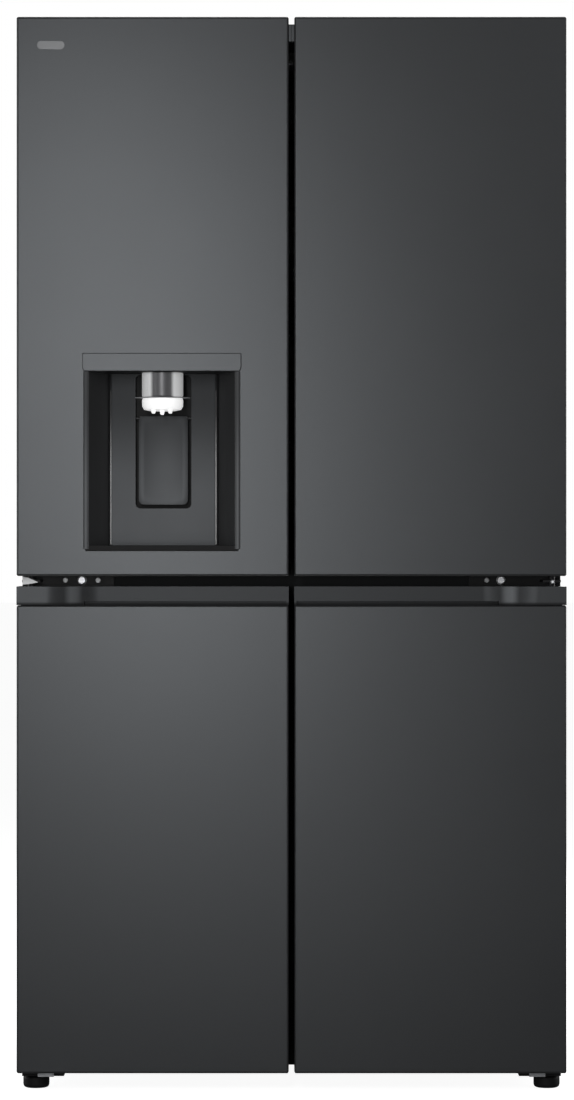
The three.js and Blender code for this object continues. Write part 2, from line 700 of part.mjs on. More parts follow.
// Cover of the evaporator room, with air outlets into both freezer bays and the fan's motor behind it.
function freezerDuctPanel() {
  const y = [Y(ductFront), Y(ductFront + DUCT_PANEL)];
  const x = ROOM_X - TOUCH;
  const panel = block([-x, x], y, [STEP.top + TOUCH, FREEZER_Z[1] - TOUCH]);
  const outlets = [-1, 1].flatMap((side) =>
    [0, 1, 2].map((row) => {
      const middle = (side * (ROOM_X + POST / 2)) / 2;
      const z = FREEZER_Z[1] - 40 - row * 150;
      return block([middle - 70, middle + 70], [y[0] - 1, y[1] + 1], [z - 12, z]);
    }),
  );
  const motor = bar("y", EVAP_FAN, FAN_HUB + 2, [y[1] - 1, y[1] + 6], 16);
  const shaft = bar("y", EVAP_FAN, SHAFT_R, [y[1], EVAP_FAN_FROM + FAN_THICK - SHAFT_SHORT], 12);
  return join(cut(panel, ...outlets), motor, shaft);
}

function fridgeDuctPanel() {
  const y = [Y(SHELF_BACK + 4), Y(ROOM_BACK) - TOUCH];
  const z = [FRIDGE_Z[0] + CRISPER_HIGH + 30, FRIDGE_Z[1] - 20];
  const half = 130;
  const outlets = [0, 1, 2, 3].map((row) => {
    const level = z[1] - 60 - row * 150;
    return block([-half + 30, half - 30], [y[0] - 1, y[0] + 6], [level - 14, level]);
  });
  return cut(block([-half, half], y, z), ...outlets);
}

// ---------------------------------------------------------------- shelves, crispers and drawers

function shelf(height) {
  const half = ROOM_X - SHELF_EDGE;
  const z = [FRIDGE_Z[0] + height, FRIDGE_Z[0] + height + SHELF_THICK];
  const y = [Y(SHELF_FRONT), Y(SHELF_BACK)];
  const rim = 16;
  const tray = block([-half + rim, half - rim], [y[0] + rim, y[1] - rim], [z[0] + 5, z[1] + 1]);
  return cut(block([-half, half], y, z), tray);
}

function crisper(side) {
  return tub(
    [side * CENTRE_CLEAR, side * (ROOM_X - SHELF_EDGE)],
    [Y(SHELF_FRONT), Y(SHELF_FRONT + CRISPER_DEEP)],
    [FRIDGE_Z[0] + SLIDE, FRIDGE_Z[0] + CRISPER_HIGH],
    TUB_WALL,
  );
}

function freezerDrawer(side, level) {
  const low = FREEZER_Z[0] + level * DRAWER_PITCH + SLIDE;
  const deep = level === 0 ? LOW_DRAWER_DEEP : DRAWER_DEEP;
  return tub(
    [side * (POST / 2 + 3), side * (ROOM_X - 3)],
    [Y(DRAWER_FRONT), Y(DRAWER_FRONT + deep)],
    [low, low + DRAWER_HIGH],
    TUB_WALL,
  );
}

// ---------------------------------------------------------------- doors

// A door's own frame has its origin on the hinge axis at the door's bottom edge. u is the distance from the
// door's outer side towards the middle, d the depth behind its face and h the height above its bottom edge.
const frameFor = (side) => ({
  x: (u) => -side * (u - PIN_SIDE),
  y: (d) => d - PIN_FRONT,
  block(u, d, h) {
    return block(u.map(this.x), d.map(this.y), h);
  },
});

// The places on a door's back that follow from the compartment that it closes.
function backOf(base, room) {
  const outer = WIDTH / 2 - ROOM_X; // the opening's edge, from the door's outer side
  const seal = {
    u: [outer - SEAL_IN - SEAL, WIDTH / 2 - SEAL_EDGE],
    h: [room[0] - base - SEAL_IN - SEAL, room[1] - base + SEAL_IN + SEAL],
  };
  const rim = {
    u: [outer + RIM_OUT, WIDTH / 2 - RIM_CENTRE],
    h: [room[0] - base + RIM_OUT, room[1] - base - RIM_OUT],
  };
  return { seal, rim };
}

const shrink = (pair, by) => [pair[0] + by, pair[1] - by];

// Front sheet with both sides, which stop at sideTop, and a return lip along its top edge.
function doorSkin(f, height, sideTop, lip) {
  const deep = DOOR_THICK - MOULDING - TOUCH;
  const inside = [SKIN, DOOR_WIDE - SKIN];
  const sheet = cut(
    f.block([0, DOOR_WIDE], [0, deep], [0, height]),
    f.block(inside, [SKIN, deep + 1], [-1, height - SKIN]),
    f.block(inside, [lip, deep + 1], [height - 2 * SKIN, height + 1]),
  );
  if (sideTop === height) return sheet;
  return cut(sheet, f.block([-1, DOOR_WIDE + 1], [TOP_SIDE, deep + 1], [sideTop, height + 1]));
}

// Back wall with its raised rim, which reaches into the compartment.
function doorBack(f, height, back) {
  const plate = f.block([0, DOOR_WIDE], [DOOR_THICK - MOULDING, DOOR_THICK], [0, height]);
  const rim = cut(
    f.block(back.rim.u, [DOOR_THICK - 1, DOOR_THICK + RIM_DEEP], back.rim.h),
    f.block(
      shrink(back.rim.u, RIM_WIDE),
      [DOOR_THICK, DOOR_THICK + RIM_DEEP + 1],
      shrink(back.rim.h, RIM_WIDE),
    ),
  );
  return join(plate, rim);
}

// A cap closes the door's end between the sheet's sides.
const capBlock = (f, h) =>
  f.block([SKIN + TOUCH, DOOR_WIDE - SKIN - TOUCH], [SKIN + TOUCH, DOOR_THICK - 1], h);

const socket = (h) => bar("z", [0, 0], PIN_R + PIN_PLAY, h);
const boss = (h) => bar("z", [0, 0], PIN_R + 5, h, 20);

function gasket(f, back) {
  const d = [DOOR_THICK + TOUCH, CABINET_FRONT - TOUCH];
  return cut(
    f.block(back.seal.u, d, back.seal.h),
    f.block(shrink(back.seal.u, SEAL), [d[0] - 1, d[1] + 1], shrink(back.seal.h, SEAL)),
  );
}

// ---- upper doors

const UPPER_HIGH = DOOR_TOP - UPPER_BASE;
const UPPER_CAP = UPPER_HIGH - CAP_DROP;

// Liner and end caps as one moulding, with the finger pocket in its underside.
function upperLiner(f, back) {
  const top = [UPPER_CAP - MOULDING, UPPER_CAP];
  const bottom = [TOUCH, MOULDING];
  const pocket = { u: UNDER_GRIP, d: [GRIP_LIP, GRIP_LIP + GRIP_WIDE], h: [0, GRIP_POCKET] };
  const around = (pair, by) => [pair[0] - by, pair[1] + by];
  const closed = join(
    doorBack(f, UPPER_CAP, back),
    capBlock(f, top),
    capBlock(f, bottom),
    boss([top[0] - PIN_REACH, top[1]]),
    boss([bottom[0], PIN_REACH]),
    f.block(around(pocket.u, MOULDING), around(pocket.d, MOULDING), [bottom[0], GRIP_POCKET + MOULDING]),
  );
  return cut(
    closed,
    f.block(pocket.u, pocket.d, [-1, GRIP_POCKET]),
    socket([top[0] - PIN_REACH + 2, top[1] + 1]),
    socket([-1, PIN_REACH - 2]),
  );
}

const DISP = {
  u: [DISP_CENTRE - DISP_WIDE / 2, DISP_CENTRE + DISP_WIDE / 2],
  h: [DISP_LOW, DISP_LOW + DISP_HIGH],
};
const CHANNEL = {
  u: [DISP_CENTRE - CHANNEL_WIDE / 2, DISP_CENTRE + CHANNEL_WIDE / 2],
  d: [DISP_DEEP, DISP_DEEP + CHANNEL_DEEP],
  h: [DISP_LOW + CHANNEL_LOW, DISP_LOW + DISP_HIGH],
};
const PADDLE = {
  u: [DISP_CENTRE - PADDLE_WIDE / 2, DISP_CENTRE + PADDLE_WIDE / 2],
  d: [DISP_DEEP - PADDLE_PROUD, DISP_DEEP - PADDLE_PROUD + PADDLE_THICK],
  h: [CHANNEL.h[0] + PADDLE_LOW, CHANNEL.h[0] + PADDLE_LOW + PADDLE_HIGH],
};
const PADDLE_AXIS = { d: PADDLE.d[1] + PADDLE_PIN + 1, h: PADDLE.h[1] - PADDLE_PIN - 1 };

// The recess: walls that close in towards the back, a channel for the paddle, and a frame on the door's face.
function dispenserHousing(f) {
  const funnel = (grow, front, back, h) => {
    const outline = [
      [DISP.u[0] - grow, front],
      [DISP.u[1] + grow, front],
      [DISP_CENTRE + DISP_BACK_WIDE / 2 + grow, back],
      [DISP_CENTRE - DISP_BACK_WIDE / 2 - grow, back],
    ];
    return raised(outline.map(([u, d]) => [f.x(u), f.y(d)]), h);
  };
  const face = -DISP_FRAME_PROUD;
  const frame = f.block(
    [DISP.u[0] - DISP_FRAME, DISP.u[1] + DISP_FRAME],
    [face, -TOUCH],
    [DISP.h[0] - DISP_FRAME / 2, DISP.h[1]],
  );
  const channelWall = f.block(
    [CHANNEL.u[0] - MOULDING, CHANNEL.u[1] + MOULDING],
    [DISP_DEEP, CHANNEL.d[1] + MOULDING],
    [CHANNEL.h[0] - MOULDING, CHANNEL.h[1] + MOULDING],
  );
  const walls = join(
    frame,
    funnel(MOULDING, -TOUCH - 0.5, DISP_DEEP + MOULDING, [DISP.h[0] - MOULDING, DISP.h[1] + MOULDING]),
    channelWall,
  );
  const underFascia = f.block([DISP.u[0] - 20, DISP.u[1] + 20], [-3, 0], [DISP.h[1], DISP.h[1] + 20]);
  const axle = [f.y(PADDLE_AXIS.d), PADDLE_AXIS.h];
  const across = CHANNEL.u.map(f.x).sort((a, b) => a - b);
  return cut(
    walls,
    underFascia,
    funnel(0, face - 1, DISP_DEEP, DISP.h),
    f.block(CHANNEL.u, [DISP_DEEP - 2, CHANNEL.d[1]], CHANNEL.h),
    bar("x", axle, PADDLE_PIN + PIN_PLAY, [across[0] - MOULDING - 6, across[1] + MOULDING + 6], 16),
  );
}

// Control fascia over the recess, with the control box behind it.
function dispenserFascia(f) {
  const low = DISP.h[1] + TOUCH;
  const face = f.block(
    [DISP.u[0] - FASCIA_SIDE, DISP.u[1] + FASCIA_SIDE],
    [-FASCIA_PROUD, -TOUCH],
    [low, low + FASCIA_HIGH],
  );
  const box = f.block(
    [DISP.u[0] + 2, DISP.u[1] - 2],
    [-1, FASCIA_BOX],
    [low + MOULDING, low + FASCIA_HIGH - 6],
  );
  return join(face, box);
}

function dispenserSpout(f) {
  const top = DISP.h[1] - TOUCH;
  const low = top - SPOUT_DROP;
  const profile = [
    [SPOUT_BORE, low + 3],
    [SPOUT_R - 4, low],
    [SPOUT_R, low + 5],
    [SPOUT_R, low + 20],
    [SPOUT_R - 1.5, low + 21.5],
    [SPOUT_R, low + 23],
    [SPOUT_R, top],
    [SPOUT_BORE, top],
    [SPOUT_BORE, low + 3],
  ];
  return turned(profile, [f.x(DISP_CENTRE), f.y(SPOUT_FRONT)], 40);
}

function dispenserPaddle(f) {
  const plate = f.block(PADDLE.u, PADDLE.d, PADDLE.h);
  const lugHigh = [PADDLE_AXIS.h - 3, PADDLE_AXIS.h + 3];
  const lug = f.block(PADDLE.u, [PADDLE.d[1] - 1, PADDLE_AXIS.d + 2], lugHigh);
  const reach = CHANNEL_WIDE / 2 + 2;
  const middle = f.x(DISP_CENTRE);
  const centre = [f.y(PADDLE_AXIS.d), PADDLE_AXIS.h];
  return join(plate, lug, bar("x", centre, PADDLE_PIN, [middle - reach, middle + reach], 16));
}

// The front sheet of the left door is opened for the dispenser.
function dispenserSkin(f, skin) {
  const gap = MOULDING + TOUCH;
  const top = DISP.h[1] + FASCIA_HIGH - 5;
  return cut(skin, f.block([DISP.u[0] - gap, DISP.u[1] + gap], [-1, SKIN + 2], [DISP.h[0] - gap, top]));
}

// The left door's liner bulges behind the dispenser and carries the mullion's arms.
function leftLiner(f, back) {
  const bulge = {
    u: [DISP.u[0] - 12, DISP.u[1] + 12],
    h: [back.rim.h[0] + 1, DISP.h[1] + FASCIA_HIGH],
  };
  const deep = [DOOR_THICK - 1, DOOR_THICK + BULGE_DEEP];
  const swelled = cut(
    join(upperLiner(f, back), f.block(bulge.u, deep, bulge.h)),
    f.block(
      shrink(bulge.u, MOULDING),
      [DOOR_THICK - MOULDING - 1, deep[1] - MOULDING],
      shrink(bulge.h, MOULDING),
    ),
  );
  const arms = mullionArms(f, back);
  return cut(join(swelled, ...arms.map(({ arm }) => arm)), ...arms.map(({ hole }) => hole));
}

// ---- centre mullion

const MULLION = {
  u: WIDTH / 2 - MULLION_PIVOT,
  d: CABINET_FRONT + MULLION_SET + MULLION_THICK / 2,
  h: [FRIDGE_Z[0] - UPPER_BASE + MULLION_CLEAR, FRIDGE_Z[1] - UPPER_BASE - MULLION_CLEAR],
};

// Arms from the door's rim to the mullion's pins, beyond the bar's two ends.
function mullionArms(f, back) {
  const centre = [f.x(MULLION.u), f.y(MULLION.d)];
  return [MULLION.h[0] - 2 - MULLION_ARM, MULLION.h[1] + 2].map((low) => {
    const h = [low, low + MULLION_ARM];
    const reach = f.block([back.rim.u[1] - 5, MULLION.u + 5], [MULLION.d - 5, MULLION.d + 5], h);
    return { arm: reach, hole: bar("z", centre, MULLION_PIN + PIN_PLAY, [h[0] - 1, h[1] + 1], 16) };
  });
}

// The bar, its end lugs and its pins, folded back: it turns about its pins to lie flat behind both doors.
function mullion(f) {
  const [near, far] = [MULLION_PIVOT - MULLION_WIDE / 2, MULLION_PIVOT + MULLION_WIDE / 2];
  const u = [MULLION.u - MULLION_THICK / 2, MULLION.u + MULLION_THICK / 2];
  const body = f.block(u, [MULLION.d + near, MULLION.d + far], MULLION.h);
  const lugs = MULLION.h.map((end, top) => {
    const h = top ? [end - 10, end] : [end, end + 10];
    return f.block([MULLION.u - 5, MULLION.u + 5], [MULLION.d - 5, MULLION.d + near + 1], h);
  });
  const pin = bar(
    "z",
    [f.x(MULLION.u), f.y(MULLION.d)],
    MULLION_PIN,
    [MULLION.h[0] - MULLION_ARM - 3, MULLION.h[1] + MULLION_ARM + 3],
    16,
  );
  return join(body, ...lugs, pin);
}

// ---- lower doors

const SHEET_TOP = LOWER_DOOR - GRIP_STRIP; // top edge of a lower door's front sheet

// Front of the handle strip: flush at the hinge side, then an S-curve back to the grip.
function gripSetback(u) {
  const share = THREE.MathUtils.clamp((u - GRIP_CURVE[0]) / (GRIP_CURVE[1] - GRIP_CURVE[0]), 0, 1);
  return GRIP_RECESS * THREE.MathUtils.smoothstep(share, 0, 1);
}

function gripCap(f) {
  const steps = 24;
  const curve = Array.from({ length: steps + 1 }, (_, i) => {
    const u = GRIP_CURVE[0] + (i * (GRIP_CURVE[1] - GRIP_CURVE[0])) / steps;
    return [u, gripSetback(u)];
  });
  const inFront = [[GRIP_CURVE[0], -1], ...curve, [DOOR_WIDE + 1, GRIP_RECESS], [DOOR_WIDE + 1, -1]];
  const strip = cut(
    f.block([0, DOOR_WIDE], [0, DOOR_THICK - MOULDING - TOUCH], [SHEET_TOP + TOUCH, LOWER_DOOR]),
    raised(inFront.map(([u, d]) => [f.x(u), f.y(d)]), [SHEET_TOP, LOWER_DOOR + 1]),
    f.block(
      [SKIN * 3, DOOR_WIDE - SKIN * 3],
      [GRIP_LIP + GRIP_WIDE + MOULDING, DOOR_THICK - 2 * MOULDING],
      [SHEET_TOP, LOWER_DOOR - MOULDING],
    ),
  );
  const u = [GRIP_CURVE[1] - 30, DOOR_WIDE - SKIN - TOUCH];
  const d = [GRIP_LIP, GRIP_LIP + GRIP_WIDE];
  const scoop = f.block(
    u,
    [d[0] - MOULDING, d[1] + MOULDING],
    [SHEET_TOP - GRIP_POCKET - MOULDING, SHEET_TOP + TOUCH + 1],
  );
  const hollow = f.block(shrink(u, MOULDING), d, [SHEET_TOP - GRIP_POCKET, SHEET_TOP + GRIP_GROOVE]);
  const sheetEdge = f.block([-1, DOOR_WIDE + 1], [-1, GRIP_LIP], [SHEET_TOP, SHEET_TOP + 2]);
  return cut(
    join(strip, cut(scoop, sheetEdge), boss([SHEET_TOP + TOUCH, LOWER_DOOR])),
    hollow,
    socket([LOWER_DOOR - PIN_REACH, LOWER_DOOR + 1]),
  );
}

function lowerLiner(f, back) {
  const bottom = [TOUCH, MOULDING];
  return cut(
    join(doorBack(f, LOWER_DOOR, back), capBlock(f, bottom), boss([bottom[0], PIN_REACH])),
    socket([-1, PIN_REACH - 2]),
  );
}

// An open-topped bin between a door's rims.
function doorBin(f, back, height, from, to) {
  const low = FRIDGE_Z[0] - UPPER_BASE + height;
  const u = shrink(back.rim.u, RIM_WIDE + 1).map(f.x);
  return tub(u, [from, to].map(f.y), [low, low + BIN_HIGH], TUB_WALL);
}

// The ice room on the left door: a box with its chute in the floor.
function iceBox(f, back) {
  const low = FRIDGE_Z[0] - UPPER_BASE + ICE_BOX_LOW;
  const u = shrink(back.rim.u, RIM_WIDE + 1);
  const d = [DOOR_THICK + TOUCH, ICE_BOX_BACK];
  const h = [low, FRIDGE_Z[1] - UPPER_BASE - ICE_BOX_DROP];
  const wall = MOULDING + 1;
  return cut(
    f.block(u, d, h),
    f.block(shrink(u, wall), shrink(d, wall), shrink(h, wall)),
    bar(
      "z",
      [f.x(DISP_CENTRE), f.y(DOOR_THICK + BULGE_DEEP + 30)],
      SPOUT_BORE,
      [h[0] - 1, h[0] + wall + 1],
    ),
  );
}

// ---------------------------------------------------------------- assembly

const refrigerator = new THREE.Group();
const NAMES = { "-1": "left", 1: "right" };

refrigerator.add(
  piece("cabinet_shell", cabinetShell(), "cabinet_steel"),
  piece("back_panel", backPanel(), "plated_steel"),
  piece("cabinet_foam", cabinetFoam(), "foam"),
  piece("fridge_liner", fridgeLiner(), "white_plastic"),
  piece("freezer_liner", freezerLiner(), "white_plastic"),
  piece("base_frame", baseFrame(), "plated_steel"),
  piece("machine_cover", machineCover(), "plated_steel"),
  piece("top_cover", topCover(), "handle_strip"),
  piece("compressor", compressor(), "compressor_black"),
  piece("condenser", condenser(), "fin_aluminium"),
  piece("condenser_fan", condenserFan(), "dark_plastic"),
  piece("evaporator", evaporator(), "fin_aluminium"),
  piece("evaporator_fan", evaporatorFan(), "dark_plastic"),
  piece("freezer_duct_panel", freezerDuctPanel(), "white_plastic"),
  piece("fridge_duct_panel", fridgeDuctPanel(), "white_plastic"),
);

for (const [name, height] of Object.entries(SHELF_HEIGHTS)) {
  refrigerator.add(piece(name, shelf(height), "shelf_glass"));
}

for (const side of [-1, 1]) {
  const hand = NAMES[side];
  refrigerator.add(
    piece(`top_hinge_${hand}`, topHinge(side), "hinge_steel"),
    piece(`mid_hinge_${hand}`, midHinge(side), "hinge_steel"),
    piece(`bottom_hinge_${hand}`, bottomHinge(side), "hinge_steel"),
    piece(`foot_${hand}`, levellingFoot(side), "foot_rubber"),
    piece(`roller_${hand}`, rearRoller(side), "dark_plastic"),
    piece(`crisper_${hand}`, crisper(side), "clear_plastic"),
  );
  ["bottom", "middle", "top"].forEach((level, number) => {
    const drawer = freezerDrawer(side, number);
    refrigerator.add(piece(`freezer_drawer_${hand}_${level}`, drawer, "clear_plastic"));
  });

  const f = frameFor(side);
  const upperBack = backOf(UPPER_BASE, FRIDGE_Z);
  const upper = new THREE.Group();
  upper.position.set(side * PIN_X, Y(PIN_FRONT), UPPER_BASE);
  const skin = doorSkin(f, UPPER_HIGH, UPPER_CAP, TOP_LIP);
  if (side < 0) {
    upper.add(
      piece("upper_left_skin", dispenserSkin(f, skin), "door_steel"),
      piece("upper_left_liner", leftLiner(f, upperBack), "white_plastic"),
      piece("dispenser_housing", dispenserHousing(f), "dispenser_plastic"),
      piece("dispenser_fascia", dispenserFascia(f), "door_steel"),
      piece("dispenser_spout", dispenserSpout(f), "chrome"),
      piece("dispenser_paddle", dispenserPaddle(f), "dispenser_plastic"),
      piece("ice_box", iceBox(f, upperBack), "white_plastic"),
      piece(
        "bin_left",
        doorBin(f, upperBack, LEFT_BIN, DOOR_THICK + BULGE_DEEP + TOUCH, BIN_BACK),
        "clear_plastic",
      ),
      piece("mullion", mullion(f), "dark_plastic"),
    );
  } else {
    upper.add(
      piece("upper_right_skin", skin, "door_steel"),
      piece("upper_right_liner", upperLiner(f, upperBack), "white_plastic"),
    );
    for (const [name, height] of Object.entries(BIN_HEIGHTS)) {
      const back = name.endsWith("bottom") ? LOW_BIN_BACK : BIN_BACK;
      upper.add(piece(name, doorBin(f, upperBack, height, DOOR_THICK + TOUCH, back), "clear_plastic"));
    }
  }
  upper.add(piece(`upper_${hand}_gasket`, gasket(f, upperBack), "seal_rubber"));

  const lowerBack = backOf(DOOR_BASE, FREEZER_Z);
  const lower = new THREE.Group();
  lower.position.set(side * PIN_X, Y(PIN_FRONT), DOOR_BASE);
  lower.add(
    piece(
      `lower_${hand}_skin`,
      doorSkin(f, SHEET_TOP, SHEET_TOP, GRIP_LIP - MOULDING - TOUCH),
      "door_steel",
    ),
    piece(`lower_${hand}_liner`, lowerLiner(f, lowerBack), "white_plastic"),
    piece(`lower_${hand}_grip`, gripCap(f), "handle_strip"),
    piece(`lower_${hand}_gasket`, gasket(f, lowerBack), "seal_rubber"),
  );
  refrigerator.add(upper, lower);
}

export default refrigerator;
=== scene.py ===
import math

import bmesh
import bpy
from mathutils import Matrix, Vector


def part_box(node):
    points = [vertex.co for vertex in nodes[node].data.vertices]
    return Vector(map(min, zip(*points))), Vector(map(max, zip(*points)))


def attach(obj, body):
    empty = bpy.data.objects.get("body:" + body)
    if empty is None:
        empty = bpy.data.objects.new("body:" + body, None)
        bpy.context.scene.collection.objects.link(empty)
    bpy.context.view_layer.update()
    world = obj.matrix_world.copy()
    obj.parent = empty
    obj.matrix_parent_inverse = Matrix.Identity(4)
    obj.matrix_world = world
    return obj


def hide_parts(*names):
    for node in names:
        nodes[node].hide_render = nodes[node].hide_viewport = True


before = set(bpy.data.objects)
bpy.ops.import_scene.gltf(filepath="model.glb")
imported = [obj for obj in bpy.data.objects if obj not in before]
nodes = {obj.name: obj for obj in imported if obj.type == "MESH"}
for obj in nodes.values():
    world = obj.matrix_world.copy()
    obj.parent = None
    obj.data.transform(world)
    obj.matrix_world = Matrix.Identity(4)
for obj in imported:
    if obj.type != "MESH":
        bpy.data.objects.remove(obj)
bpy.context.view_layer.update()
scene = bpy.context.scene

# ---------------------------------------------------------------- camera

DOOR_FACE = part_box("lower_left_skin")[0].y
CAMERA_AWAY = 6.5
PHOTO_TALL = 1.8273  # height of the picture at the doors
CAMERA_X = -0.0075
CAMERA_HIGH = 0.9008
SENSOR = 36

camera = bpy.data.objects.new("camera", bpy.data.cameras.new("camera"))
scene.collection.objects.link(camera)
camera.location = (CAMERA_X, DOOR_FACE - CAMERA_AWAY, CAMERA_HIGH)
camera.rotation_euler = (math.radians(90), 0, 0)
camera.data.sensor_width = SENSOR
camera.data.lens = SENSOR * CAMERA_AWAY / PHOTO_TALL
camera.data.clip_end = 100
scene.camera = camera
scene.view_settings.view_transform = "Standard"
scene.view_settings.look = "None"

# ---------------------------------------------------------------- materials


def remapped(tree, value, before, after, smooth=False):
    """A value carried from one range to another."""
    node = tree.nodes.new("ShaderNodeMapRange")
    if smooth:
        node.interpolation_type = "SMOOTHSTEP"
    for name, limits in (("From", before), ("To", after)):
        node.inputs[name + " Min"].default_value = limits[0]
        node.inputs[name + " Max"].default_value = limits[1]
    tree.links.new(value, node.inputs["Value"])
    return node.outputs["Result"]


def calculated(tree, kind, first, second=None):
    """A sum on another node's output. The second value is a number or an output too."""
    node = tree.nodes.new("ShaderNodeMath")
    node.operation = kind
    tree.links.new(first, node.inputs[0])
    if isinstance(second, bpy.types.NodeSocket):
        tree.links.new(second, node.inputs[1])
    elif second is not None:
        node.inputs[1].default_value = second
    return node.outputs["Value"]


def blended(tree, factor, first, second):
    """A mix of two colours, each a colour or another node's output."""
    node = tree.nodes.new("ShaderNodeMix")
    node.data_type = "RGBA"
    for name, colour in (("A", first), ("B", second)):
        if isinstance(colour, bpy.types.NodeSocket):
            tree.links.new(colour, node.inputs[name])
        else:
            node.inputs[name].default_value = [*colour, 1]
    tree.links.new(factor, node.inputs["Factor"])
    return node.outputs["Result"]


def noise(tree, place, scale, detail, rough=0.5):
    node = tree.nodes.new("ShaderNodeTexNoise")
    node.inputs["Scale"].default_value = scale
    node.inputs["Detail"].default_value = detail
    node.inputs["Roughness"].default_value = rough
    tree.links.new(place, node.inputs["Vector"])
    return node.outputs["Fac"]


def place_along(tree, axis):
    """The object's own x, y or z."""
    place = tree.nodes.new("ShaderNodeTexCoord")
    split = tree.nodes.new("ShaderNodeSeparateXYZ")
    tree.links.new(place.outputs["Object"], split.inputs["Vector"])
    return split.outputs[axis]


def surface(name, colour, rough, metal=0.0, vary=0.08, grain=(90, 90, 90), bump=0.05, rough_vary=0.06,
            fine=900, spec=0.5, coat=0.0, clear=0.0, ior=1.5, glow=0.0, speckle=None):
    """A procedural material: cloudy colour, uneven gloss and a fine relief, all in metres on the object."""
    material = bpy.data.materials.new(name)
    material.use_nodes = True
    tree = material.node_tree
    shader = tree.nodes["Principled BSDF"]
    place = tree.nodes.new("ShaderNodeTexCoord")
    stretch = tree.nodes.new("ShaderNodeMapping")
    stretch.inputs["Scale"].default_value = grain
    tree.links.new(place.outputs["Object"], stretch.inputs["Vector"])
    cloud = noise(tree, stretch.outputs["Vector"], 1.0, 5, 0.6)
    grit = noise(tree, place.outputs["Object"], fine, 3)
    dark = [c * (1 - vary) for c in colour]
    light = [min(1, c * (1 + vary)) for c in colour]
    base = blended(tree, cloud, dark, light)
    if speckle:
        base = blended(tree, remapped(tree, grit, (0.56, 0.7), (0, 1)), base, speckle)
    tree.links.new(base, shader.inputs["Base Color"])
    gloss = remapped(tree, cloud, (0, 1), (max(0.02, rough - rough_vary), min(1.0, rough + rough_vary)))
    tree.links.new(gloss, shader.inputs["Roughness"])
    relief = tree.nodes.new("ShaderNodeBump")
    relief.inputs["Strength"].default_value = bump
    relief.inputs["Distance"].default_value = 0.0004
    tree.links.new(grit, relief.inputs["Height"])
    tree.links.new(relief.outputs["Normal"], shader.inputs["Normal"])
    settings = {"Metallic": metal, "Specular IOR Level": spec, "Coat Weight": coat, "Coat Roughness": 0.15,
                "Transmission Weight": clear, "IOR": ior}
    if glow:
        settings |= {"Emission Color": (1, 1, 1, 1), "Emission Strength": glow}
    for socket, value in settings.items():
        shader.inputs[socket].default_value = value
    return material


STEEL_DARK = surface("coated_steel", (0.021, 0.0215, 0.0225), 0.345, vary=0.10, grain=(7, 7, 7), bump=0.10,
                     rough_vary=0.012, fine=1600, spec=0.42, speckle=(0.03, 0.031, 0.033))
STRIP_DARK = surface("strip_plastic", (0.021, 0.0215, 0.0225), 0.42, vary=0.06, bump=0.05, rough_vary=0.02,
                     spec=0.45)
TOP_DARK = surface("top_cover_plastic", (0.021, 0.0215, 0.0225), 0.42, vary=0.06, bump=0.06, rough_vary=0.03,
                   spec=0.24)
CABINET = surface("cabinet_paint", (0.02, 0.021, 0.022), 0.5, vary=0.05, grain=(5, 5, 5), bump=0.35,
                  rough_vary=0.03, fine=700, spec=0.45)
GALVANISED = surface("galvanised", (0.45, 0.46, 0.48), 0.42, metal=0.9, vary=0.18, grain=(55, 55, 55),
                     bump=0.06,
                     rough_vary=0.12)
HINGE_DARK = surface("hinge_black_plating", (0.012, 0.012, 0.013), 0.45, vary=0.08, bump=0.05,
                     rough_vary=0.05, spec=0.15)
BOLT = surface("zinc_bolt", (0.74, 0.75, 0.77), 0.42, metal=0.8, vary=0.1, bump=0.04)
SMALL_BOLT = surface("dull_bolt", (0.3, 0.305, 0.31), 0.45, metal=0.85, vary=0.12, bump=0.04)
PLATED = surface("bright_plating", (0.78, 0.79, 0.8), 0.2, metal=1.0, vary=0.05, bump=0.03, rough_vary=0.05)
WHITE = surface("white_moulding", (0.78, 0.79, 0.8), 0.38, vary=0.015, grain=(6, 6, 6), bump=0.06,
                rough_vary=0.05, fine=500)
CLEAR = surface("clear_moulding", (0.9, 0.94, 0.96), 0.09, vary=0.02, bump=0.02, rough_vary=0.03, clear=0.92,
                ior=1.3)
GLASS = surface("toughened_glass", (0.86, 0.95, 0.93), 0.05, vary=0.01, bump=0.0, rough_vary=0.01, clear=0.95,
                ior=1.45)
BLACK = surface("black_moulding", (0.012, 0.012, 0.013), 0.5, vary=0.1, bump=0.12, rough_vary=0.06, fine=800)
RECESS = surface("recess_moulding", (0.022, 0.0225, 0.0235), 0.42, vary=0.05, grain=(12, 12, 12), bump=0.05,
                 rough_vary=0.03, spec=0.3)
# near-black with little gloss: painted shade for the channel behind the paddle and the strip under the recess
PAINTED_SHADE = surface("shaded_moulding", (0.008, 0.008, 0.0085), 0.55, vary=0.1, bump=0.05, spec=0.13)
SEAL = surface("seal_rubber", (0.11, 0.112, 0.116), 0.62, vary=0.1, bump=0.15, rough_vary=0.08, fine=600)
RUBBER = surface("foot_rubber", (0.007, 0.007, 0.0075), 0.6, vary=0.15, bump=0.25, rough_vary=0.1, fine=500,
                 spec=0.2)
FOAM = surface("foam", (0.72, 0.58, 0.3), 0.9, vary=0.2, grain=(160, 160, 160), bump=0.6, fine=350)
ALUMINIUM = surface("bare_aluminium", (0.6, 0.61, 0.63), 0.35, metal=1.0, vary=0.12, grain=(30, 30, 300),
                    bump=0.08)
ENAMEL = surface("black_enamel", (0.012, 0.012, 0.013), 0.3, vary=0.1, bump=0.2, fine=300, coat=0.4)
WING = surface("wing_plastic", (0.3, 0.3, 0.31), 0.4, vary=0.05, bump=0.04)
LIT_WHITE = surface("lit_ring", (0.9, 0.9, 0.9), 0.3, vary=0.02, bump=0.02, glow=0.5)
LAMP = surface("lamp_diffuser", (0.85, 0.87, 0.9), 0.3, vary=0.02, bump=0.05)
BADGE = surface("badge_metal", (0.10, 0.102, 0.105), 0.35, metal=0.6, vary=0.05, bump=0.04)
